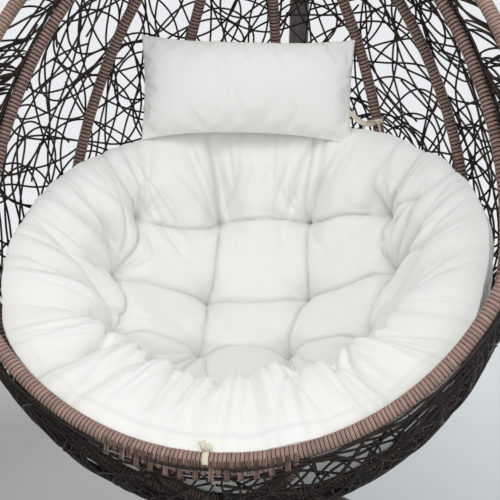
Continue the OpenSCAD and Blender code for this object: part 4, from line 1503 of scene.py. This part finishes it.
    def relief(self, way: np.ndarray, spin: np.ndarray, share: np.ndarray) -> np.ndarray:
        """How far the near face is drawn in by tufts, folds and pleats.

        Args:
            way: Directions from the cushion's middle.
            spin: Their angles round it.
            share: Their shares of the reach.

        Returns:
            Depths in metres.
        """
        rng = np.random.default_rng(self.lump_seed)
        bent = self.wavered(way)
        nearest = np.max([dot(bent, t) for t in self.tufts()], axis=0)
        near = np.arccos(np.clip(nearest, -1, 1)) * self.radius
        dip = self.tuft_deep * np.exp(-np.power(near / self.tuft_wide, 0.95))
        main, fine = self.folds()
        crease, wrinkle = np.zeros_like(near), np.zeros_like(near)
        for f in main:
            crease = np.maximum(crease, f.depth(bent, self.radius))
        for f in fine:
            d = f.depth(bent, self.radius)
            wrinkle = np.maximum(wrinkle, d) + 0.25 * np.minimum(wrinkle, d)
        total = np.maximum(dip, crease) + 0.3 * np.minimum(dip, crease)
        lumps = sum(rng.uniform(0.001, 0.0032) * np.sin(spin * k + rng.uniform(0, 6) + share * rng.uniform(-4, 4))
                    for k in (5, 8, 11, 14, 19, 23, 31)) * smooth((share - 0.5) / 0.3)
        return (total + wrinkle * (1.0 - 0.5 * np.clip(dip / self.tuft_deep, 0, 1)) + self.pleats(spin, share)
                + lumps)

    def shade(self, spin: np.ndarray, share: np.ndarray) -> np.ndarray:
        """How much painted shade each point gets, at the bottom of a crease or along the seam line in front, from 0 to
        1.

        Args:
            spin: Angles round the cushion's middle.
            share: Their shares of the reach.

        Returns:
            One number for each point.
        """
        way = self.wavered(self.way(spin, self.reach(spin) * share))
        seam = self.seam_shade * np.exp(-(((share - self.seam) / self.seam_wide) ** 2))
        seam = seam * smooth(-np.cos(spin) * 2.0 - 0.7)
        main, fine = self.folds()
        lines = [f.line(way, self.radius) for f in main + fine if not f.open_end or f.deep > self.shaded_from]
        return np.max([seam, *lines], axis=0)

    def thickness(self, way: np.ndarray) -> np.ndarray:
        """How thick the stuffing is: thickest in the seat.

        Args:
            way: Directions from the cushion's middle.

        Returns:
            One distance for each direction, in metres.
        """
        front = np.array([0.0, math.sin(self.front), -math.cos(self.front)])
        start, width = self.seat_share
        past = np.maximum(0.0, np.degrees(np.arccos(np.clip(dot(way, front), -1, 1))) - start)
        return self.thin + self.seat * np.exp(-np.power(past / width, 3.0))

    def bed(self, way: np.ndarray) -> np.ndarray:
        """How far out the cushion lies: inside the cage, and at the mouth beside the hoop.

        Args:
            way: Directions from the cushion's middle.

        Returns:
            One distance for each direction, in metres.
        """
        up = np.clip(way[..., 2] + 0.87, 0.0, 1.2)
        at_hoop = smooth((-way[..., 1] - 0.13) / (0.36 - 0.195 * up))
        hoop = self.hoop_low + self.hoop_rise * up - self.hoop_gap
        return (self.basket.cage_reach(way) - self.clear) * (1.0 - at_hoop) + at_hoop * hoop

    def place(self, spin: np.ndarray, share: np.ndarray, face: np.ndarray) -> np.ndarray:
        """Points of the cushion.

        Args:
            spin: Angle round the cushion's middle.
            share: Share of the reach.
            face: 0 for the near face and 1 for the one against the basket.

        Returns:
            Points in the cage's frame.
        """
        way = self.way(spin, self.reach(spin) * share)
        thick = self.thickness(way)
        drawn = self.relief(way, spin, share)
        edge = self.edge - 0.03 * (1.0 - np.cos(spin))
        k = np.clip((share - edge) / (1.0 - edge), 0, 1)
        close = 1.0 - np.sqrt(np.maximum(0.0, 1.0 - k * k))
        tuck = (self.tuck[0] + self.tuck[1] * np.cos(spin)) * drawn / self.radius
        tuck = tuck * smooth(k / 0.6) * (1.0 - 0.4 * smooth((k - 0.9) / 0.1))
        way = self.way(spin, self.reach(spin) * share - tuck)
        outer = self.bed(way)
        puff = self.puff * np.clip(1.0 - drawn / self.puff_until, 0, 1)
        rim = self.rim[0] + self.rim[1] * np.cos(spin)
        near = outer - thick * (1.0 - close * (1.0 - rim)) + (drawn - puff) * (1.0 - close)
        far = outer - thick * close * rim + 0.3 * drawn * (close - 1.0) * smooth((share - 0.8) / 0.1)
        at, wide, deep = self.groove
        groove = deep * np.exp(-(((share - at) / wide) ** 2)) * smooth(0.5 + np.cos(spin))
        dist = np.where(face < 0.5, near, far - groove)
        return np.array([0.0, 0.0, self.basket.cage.half]) + way * dist[..., None]

    def build(self) -> bpy.types.Object:
        """Makes the cushion.

        Returns:
            The cushion as one closed mesh.
        """
        spin = np.linspace(0, FULL_TURN, self.around, endpoint=False)
        nose = self.edge + (1 - self.edge) * np.sin(np.linspace(0, math.pi / 2, self.nose_rings))[1:]
        near = np.concatenate([np.linspace(0, self.edge, self.face_rings)[1:], nose])
        far = np.concatenate([nose[:-1][::-1], np.linspace(0, self.edge, self.far_rings)[1:][::-1]])
        share = np.concatenate([near, far])
        face = np.concatenate([np.zeros(len(near)), np.ones(len(far))])
        S, K = np.meshgrid(spin, share, indexing="xy")
        F = np.broadcast_to(face[:, None], K.shape)
        points = self.place(S, K, F).reshape(-1, 3)
        poles = self.place(np.zeros(2), np.zeros(2), np.array([0.0, 1.0]))
        faces: Faces = [(a, d, c, b) for a, b, c, d in grid_faces(len(share), self.around, True)]
        first, end = len(points), len(points) - self.around
        for j in range(self.around):
            k = (j + 1) % self.around
            faces += [(first, j, k), (first + 1, end + k, end + j)]
        obj = mesh_object("tufted_seat_cushion", self.basket.from_cage(np.concatenate([points, poles])), faces)
        # The painted shade of crease bottoms and of the seam line, stored as fold for the cloth's colour.
        keep_values(obj, "fold", np.append(self.shade(S, K) * (F < 0.5), [0.0, 0.0]))
        obj.data.materials.append(WHITE_COTTON.make())
        return obj


@dataclass
class HeadPillow:
    """The small loose pillow with pointed corners, puffed up by a cloth simulation."""

    basket: Basket
    width: float = 0.455
    height: float = 0.228
    thick: float = 0.100
    turn: float = math.radians(10.0)
    yaw: float = math.radians(3.0)
    out: float = 0.288
    up: float = 0.828
    lean: float = math.radians(17.0)
    cols: int = 92
    rows: int = 46
    frames: int = 20
    cap: float = 0.026
    side_hollow: float = 0.028
    top_hollow: float = 0.09
    foot_hollow: float = 0.19
    start_share: float = 0.74
    deepest_share: float = 0.56
    seam_half: float = 0.0004
    ripples: int = 9
    ripple_seed: int = 4

    def to_world(self, p: np.ndarray) -> np.ndarray:
        """Points of the pillow's own frame in the world.

        Args:
            p: Points.

        Returns:
            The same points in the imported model's frame.
        """
        m = (Matrix.Rotation(self.turn, 4, "Z") @ Matrix.Translation((0, self.out, self.up))
             @ Matrix.Rotation(-self.yaw, 4, "Z") @ Matrix.Rotation(self.lean, 4, "X"))
        r = np.array(m)
        return self.basket.from_cage(p @ r[:3, :3].T + r[:3, 3])

    def case(self) -> tuple[np.ndarray, Faces]:
        """Two flat sheets sewn along their edges, with a little fullness to start from.

        Returns:
            Points in the pillow's own frame, and faces.
        """
        X, Y = np.meshgrid(np.linspace(-1, 1, self.cols), np.linspace(-1, 1, self.rows))
        hollow = np.where(Y > 0, self.top_hollow * (1 - X ** 4), self.foot_hollow * (1 - np.abs(X) ** 2.6))
        puff = np.power(np.maximum(0, (1 - np.abs(X) ** 3.2) * (1 - np.abs(Y) ** 2.4)), 0.5)
        rng = np.random.default_rng(self.ripple_seed)
        ripple = sum(rng.uniform(0.0004, 0.0011) * np.sin(X * rng.uniform(5, 26) + Y * rng.uniform(-9, 9)
                                                          + rng.uniform(0, 6)) for _ in range(self.ripples))
        px = X * (1.0 - self.side_hollow * (1 - Y * Y)) * self.width / 2
        pz = Y * (1.0 - hollow * np.abs(Y)) * self.height / 2
        depth = (self.thick * 0.5 * self.start_share + ripple) * puff
        points = np.concatenate([xyz(px, -depth, pz).reshape(-1, 3), xyz(px, depth, pz).reshape(-1, 3)])
        here = np.arange(self.rows * self.cols)
        edge = ((np.abs(X) > 0.999) | (np.abs(Y) > 0.999)).ravel()
        behind = np.where(edge, here, here + len(here))
        front = np.array(grid_faces(self.rows, self.cols, False))
        faces = np.concatenate([front, behind[front[:, ::-1]]])
        used, number = np.unique(faces, return_inverse=True)
        return points[used], number.reshape(-1, 4).tolist()

    def build(self) -> bpy.types.Object:
        """Makes the pillow.

        Returns:
            The finished pillow.
        """
        points, faces = self.case()
        obj = mesh_object("white_head_pillow", points, faces)
        obj.data.vertices.foreach_set("co", self.inflate(obj, points).ravel())
        fine = obj.modifiers.new("finer", "SUBSURF")
        fine.levels = fine.render_levels = 1
        mesh = settled(obj)
        obj.modifiers.clear()
        obj.data = mesh
        mesh.vertices.foreach_set("co", self.to_world(coordinates(mesh)).ravel())
        mesh.shade_smooth()
        mesh.materials.append(WHITE_COTTON.make())
        return obj

    def inflate(self, obj: bpy.types.Object, start: np.ndarray) -> np.ndarray:
        """Blows the case up with cloth physics, with a cap on how far a point may move.

        Args:
            obj: The case.
            start: Its points.

        Returns:
            The points of the full pillow.
        """
        rim = obj.vertex_groups.new(name="seam")
        rim.add(np.nonzero(np.abs(start[:, 1]) < self.seam_half)[0].tolist(), 1.0, "REPLACE")
        cloth = obj.modifiers.new("puff", "CLOTH")
        s = cloth.settings
        s.vertex_group_mass = "seam"
        s.quality = 6
        s.mass = 0.25
        s.tension_stiffness = s.compression_stiffness = 12.0
        s.bending_stiffness = 0.12
        s.use_pressure = True
        s.uniform_pressure_force = 4.0
        s.shrink_min = -0.035
        s.effector_weights.gravity = 0.0
        cloth.collision_settings.use_collision = False
        scene = bpy.context.scene
        for f in range(1, self.frames + 1):
            scene.frame_set(f)
        move = coordinates(obj.evaluated_get(bpy.context.evaluated_depsgraph_get()).data) - start
        obj.modifiers.remove(cloth)
        scene.frame_set(1)
        far = np.linalg.norm(move, axis=1, keepdims=True)
        puffed = start + move * np.minimum(1.0, self.cap / np.maximum(far, 1e-9))
        deepest = self.thick * self.deepest_share
        puffed[:, 1] = deepest * np.tanh(puffed[:, 1] / deepest)
        half = np.array([self.width, 9.0, self.height]) / 2
        return np.clip(puffed, -half, half)


@dataclass
class Ties:
    """Cotton tapes that tie the cushion to the hoop and the pillow to the ribs."""

    basket: Basket
    pillow: HeadPillow
    thick: float = 0.0011
    wide: float = 0.011
    height: float = 0.778
    hoop_loop: float = 0.0149
    rib_loop: float = 0.0128
    knot: float = 0.005
    knot_in: float = 0.0145
    sewn: tuple[float, float] = (0.487, -0.040)
    side: float = -0.010

    def ribbon(self, line: np.ndarray, flat: Sequence[float]) -> tuple[np.ndarray, Faces]:
        """A tape along a line.

        Args:
            line: Its middle line.
            flat: The direction of its width, as far as the line allows.

        Returns:
            Points and faces.
        """
        run = unit(np.gradient(line, axis=0))
        across = unit(np.array(flat) - run * dot(np.array(flat), run)[:, None])
        up = np.cross(run, across)
        w, t = self.wide / 2, self.thick / 2
        rows = [line + across * a + up * b for a, b in ((-w, -t), (w, -t), (w, t), (-w, t))]
        last = 4 * len(line) - 4
        faces = grid_faces(len(line), 4, True) + [(3, 2, 1, 0), (last, last + 1, last + 2, last + 3)]
        return np.stack(rows, 1).reshape(-1, 3), faces

    def joined(self, name: str, parts: Sequence[tuple[np.ndarray, Sequence[float]]]) -> bpy.types.Object:
        """Several tapes as one piece, each with its line and the direction of its width.

        Args:
            name: The piece's name.
            parts: The tapes, each a line of points and a direction.

        Returns:
            The finished piece.
        """
        points, faces = np.empty((0, 3)), []
        for line, flat in parts:
            more, quads = self.ribbon(line, flat)
            faces += [tuple(i + len(points) for i in quad) for quad in quads]
            points = np.concatenate([points, more])
        obj = mesh_object(name, points, faces)
        obj.data.materials.append(BEIGE_TAPE.make())
        return obj

    def rim_tie(self) -> bpy.types.Object:
        """The tape round the bottom of the hoop, with its ends up at the cushion.

        Returns:
            The finished piece.
        """
        angle = sweep(-35.0, 215.0, 40)
        lines = [xyz(self.side, -self.hoop_loop * np.cos(angle), self.hoop_loop * np.sin(angle))]
        start = np.array([self.side, -0.008, 0.0148])
        for side, rise in ((-1.0, 0.030), (1.0, 0.024)):
            middle = np.array([self.side + side * 0.003, -0.016, 0.018])
            end = np.array([self.side + side * 0.008, -0.012, rise])
            lines.append(bend(start, middle, end, 12))
        return self.joined("rim_tie", [(self.basket.from_hoop(q), (1.0, 0.0, 0.0)) for q in lines])

    def rib_tie(self, number: int, name: str, side: float) -> bpy.types.Object:
        """A tape round a rib, from the pillow's edge, with a knot and two loose ends.

        Args:
            number: The rib, counted from 0.
            name: The piece's name.
            side: -1 for the pillow's left edge and 1 for its right.

        Returns:
            The finished tie.
        """
        b = self.basket
        phi = math.radians(b.rib_turns[number])
        turn = math.asin((self.height - b.cage.half) / b.cage.side)
        mid = b.on_cage(np.array([phi]), np.array([turn]))[0]
        out = b.normal(phi, turn)
        beside = np.array([math.cos(phi), -math.sin(phi), 0.0])
        angle = sweep(-20.0, 350.0, 40)[:, None]
        loop = mid + self.rib_loop * (np.cos(angle) * out + np.sin(angle) * beside)
        knot = b.from_cage(mid - out * self.knot_in)
        edge = self.pillow.to_world(np.array([side * self.pillow.width * self.sewn[0], 0.0, self.sewn[1]]))
        sag = (knot + edge) / 2 + np.array([0.0, -0.004, -0.022])
        parts = [(b.from_cage(loop), b.turned(np.cross(beside, out))), (bend(edge, sag, knot, 24), (0.0, 0.2, 1.0))]
        for spread, fall in ((-0.022, -0.020), (0.016, -0.026)):
            bow, end = np.array([spread * 0.8, -0.014, 0.012]), np.array([spread, -0.010, fall])
            parts.append((bend(knot, knot + bow, knot + end, 24), (0.3, 1.0, 0.0)))
        ring = sweep(0.0, 350.0, 20)
        parts.append((knot + self.knot * xyz(np.cos(ring), -0.3, np.sin(ring)), (0.0, 1.0, 0.1)))
        return self.joined(name, parts)

    def build(self) -> Made:
        """All ties, each with the solid that it stands for."""
        return [(self.rim_tie(), "seat_tie"), (self.rib_tie(2, "left_pillow_tie", -1.0), "pillow_ties"),
                (self.rib_tie(4, "right_pillow_tie", 1.0), "pillow_ties")]


# ---------------------------------------------------------------- the spring


@dataclass
class HangerSpring:
    """The round-wire spring with a hook at each end."""

    strand: StrandTree
    hang_y: float = BASKET.hang_y
    top: float = 1.74938
    length: float = 0.1632
    wire: float = 0.003
    hook: float = 0.013
    coil: float = 0.021
    lead: float = 0.008
    turns: int = 7
    steps: int = 24
    pitch: float = 0.0068
    mouth: float = 20.0
    sides: int = 12

    def line(self) -> np.ndarray:
        """The wire's middle line from one hook's end to the other's.

        Returns:
            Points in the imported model's frame.
        """
        a = sweep(-self.mouth, 270.0, 34)
        hook = xyz(0.0, self.hook * np.cos(a), -self.hook + self.hook * np.sin(a))
        k = np.linspace(0, 1, 26)[1:]
        turn, r = np.radians(90.0 + 270.0 * k), self.coil * np.sin(np.pi / 2 * k)
        lead = xyz(r * np.cos(turn), r * np.sin(turn), -2 * self.hook - self.lead * k)
        b = np.arange(1, self.turns * self.steps + 1) / self.steps
        coil = xyz(self.coil * np.cos(FULL_TURN * b), self.coil * np.sin(FULL_TURN * b),
                   -2 * self.hook - self.lead - self.pitch * b)
        half = np.concatenate([hook, lead, coil])
        low = half[:-1][::-1] * np.array([1.0, -1.0, -1.0]) - np.array([0.0, 0.0, self.length])
        return np.concatenate([half, low]) + np.array([0.0, self.hang_y, self.top])

    def build(self) -> bpy.types.Object:
        """The finished spring."""
        return self.strand.make("steel_spring", [self.line()], self.wire, self.sides, 1, ZINC)


# ---------------------------------------------------------------- stage, lights and camera


class Role(Enum):
    """What a light is for."""

    KEY = "key"
    FILL = "fill"
    RIM = "rim"


@dataclass(frozen=True)
class Lamp:
    """A soft square lamp."""

    role: Role
    place: tuple[float, float, float]
    aim: tuple[float, float, float]
    size: float
    power: float

    def build(self) -> None:
        """Adds the lamp to the scene."""
        data = bpy.data.lights.new(self.role.value, "AREA")
        data.shape, data.size, data.energy = "SQUARE", self.size, self.power
        obj = linked(self.role.value, data)
        obj.location = self.place
        obj.rotation_euler = (Vector(self.aim) - Vector(self.place)).to_track_quat("-Z", "Y").to_euler()


@dataclass
class Studio:
    """Floor, light and camera."""

    floor_size: float = 60.0
    floor: Color = (0.60, 0.64, 0.66)
    floor_left: Color = (0.32, 0.317, 0.315)
    floor_turn: tuple[float, float] = (-0.9, 0.5)
    floor_fade: tuple[float, float] = (1.6, 5.5)
    sky: Color = (0.83, 0.84, 0.86)
    light: float = 0.715
    camera: tuple[float, float, float] = (0.3743, -1.9131, 0.5440)
    azimuth: float = 0.16157
    elevation: float = 0.10039
    focal_px: float = 1212.7
    image_px: float = 500.0
    sensor: float = 36.0
    lamps: tuple[Lamp, ...] = (
        Lamp(Role.KEY, (-0.5, -2.5, 3.4), (0.0, -0.2, 0.9), 1.5, 38.0),
        Lamp(Role.FILL, (1.8, -3.4, 1.4), (0.0, -0.2, 1.0), 1.8, 26.0),
        Lamp(Role.RIM, (0.5, 2.8, 3.0), (0.0, 0.0, 1.0), 2.2, 30.0),
    )

    def build_floor(self) -> None:
        """A plain pale floor, darker on the left, that fades into the background."""
        h = self.floor_size
        obj = mesh_object("plain_floor", np.array([(-h, -h, 0), (h, -h, 0), (h, h, 0), (-h, h, 0)]), [(0, 1, 2, 3)])
        g = ShaderGraph("pale floor", 0.7)
        grain = g.blend(g.spread(g.noise(2.3), 0.3, 0.7), self.floor_left, darker(self.floor_left, 1.03))
        g.dress({"Base Color": g.blend(g.spread(g.parts()["X"], *self.floor_turn), grain, self.floor)})
        g.bump(g.noise(60.0), 0.0006, 0.2)
        away = g.add("ShaderNodeVectorMath", {0: g.position()}, operation="LENGTH").outputs["Value"]
        glow = g.add("ShaderNodeEmission", {"Color": (*self.sky, 1.0)}).outputs[0]
        mix = g.add("ShaderNodeMixShader", {0: g.spread(away, *self.floor_fade), 1: g.shader.outputs[0], 2: glow})
        g.fill(g.nodes["Material Output"], {"Surface": mix.outputs[0]})
        obj.data.materials.append(g.material)

    def build_world(self) -> None:
        """Even pale light from all round, and a pale background to the camera."""
        world = bpy.data.worlds.new("pale room")
        bpy.context.scene.world = world
        world.use_nodes = True
        g = NodeGraph(world.node_tree)
        plain = g.nodes["Background"]
        g.fill(plain, {"Color": (1.0, 1.0, 1.0, 1.0), "Strength": self.light})
        seen = g.add("ShaderNodeBackground", {"Color": (*self.sky, 1.0), "Strength": 1.0})
        rays = g.add("ShaderNodeLightPath").outputs
        either = g.add("ShaderNodeMath", {0: rays["Is Camera Ray"], 1: rays["Is Glossy Ray"]}, operation="MAXIMUM")
        mix = g.add("ShaderNodeMixShader", {0: either.outputs[0], 1: plain.outputs[0], 2: seen.outputs[0]})
        g.fill(g.nodes["World Output"], {"Surface": mix.outputs[0]})

    def build_camera(self) -> None:
        """The camera, placed from the hoop's lowest point."""
        data = bpy.data.cameras.new("view")
        data.sensor_width = self.sensor
        data.lens = self.focal_px / self.image_px * self.sensor
        data.clip_end = 200.0
        obj = linked("view", data)
        obj.location = Vector(BASKET.from_hoop(np.zeros(3)) + np.array(self.camera))
        obj.rotation_euler = (math.pi / 2 - self.elevation, 0.0, self.azimuth)
        bpy.context.scene.camera = obj

    def build(self) -> None:
        """The whole stage."""
        self.build_floor()
        self.build_world()
        self.build_camera()
        for lamp in self.lamps:
            lamp.build()
        bpy.context.scene.view_settings.view_transform = "Standard"


# ---------------------------------------------------------------- the whole chair


NODE_FINISH: dict[str, Finish] = {
    "painted_steel": DARK_COAT,
    "zinc_steel": ZINC,
    "brass": BRASS,
    "black_rubber": BLACK_RUBBER,
    "black_plastic": BLACK_CAP,
    "dark_rattan": DARK_STRAND,
    "brown_rattan": HOOP_STRIP,
    "white_cloth": WHITE_COTTON,
    "beige_tape": BEIGE_TAPE,
}


class Chair:
    """Builds and hangs every dressed piece of the chair."""

    def __init__(self, frame: dict) -> None:
        """Keeps the loaded frame and the tree that several pieces share."""
        self.frame = frame
        self.strand = StrandTree()

    def dress_nodes(self) -> None:
        """Gives each solid the finish of its slot."""
        slots = {s["node"]: s["material_slot"] for s in self.frame["record"]["subparts"]}
        for name, obj in self.frame["nodes"].items():
            material = NODE_FINISH[slots[name]].make()
            if not obj.material_slots:
                obj.data.materials.append(material)
            for slot in obj.material_slots:
                slot.material = material

    def hang(self, obj: bpy.types.Object, node: str, slot: str) -> None:
        """Puts a finished piece on the basket in place of a solid.

        Args:
            obj: The piece.
            node: The solid's node.
            slot: The slot of its material; not used.
        """
        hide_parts(node)
        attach(obj, "basket")
        log.info("%s: %d faces, in place of %s", obj.name, len(obj.data.polygons), node)

    def build(self) -> None:
        """Builds the chair piece by piece."""
        self.dress_nodes()
        for obj, node in Winding(BASKET, WindingTree()).build():
            self.hang(obj, node, "brown_rattan")
        for obj, node in Weave(BASKET, self.strand).build():
            self.hang(obj, node, "dark_rattan")
        lashing = RimLashing(BASKET, self.strand).build()
        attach(lashing, "basket")
        log.info("%s: %d faces, over the weave", lashing.name, len(lashing.data.polygons))
        seat = SeatCushion(BASKET).build()
        self.hang(seat, "seat_cushion", "white_cloth")
        head = HeadPillow(BASKET)
        pillow = head.build()
        self.hang(pillow, "head_pillow", "white_cloth")
        for obj, node in Ties(BASKET, head).build():
            self.hang(obj, node, "beige_tape")
        s = HangerSpring(self.strand)
        spring = s.build()
        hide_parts("spring")
        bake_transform(spring)
        log.info("%s: %d faces, in place of spring", spring.name, len(spring.data.polygons))


def main() -> None:
    """Builds the chair, the stage and the camera."""
    logging.basicConfig(level=logging.INFO, format="%(message)s")
    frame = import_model()
    Studio().build()
    Chair(frame).build()
    bpy.context.view_layer.update()
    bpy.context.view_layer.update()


if __name__ == "__main__":
    main()
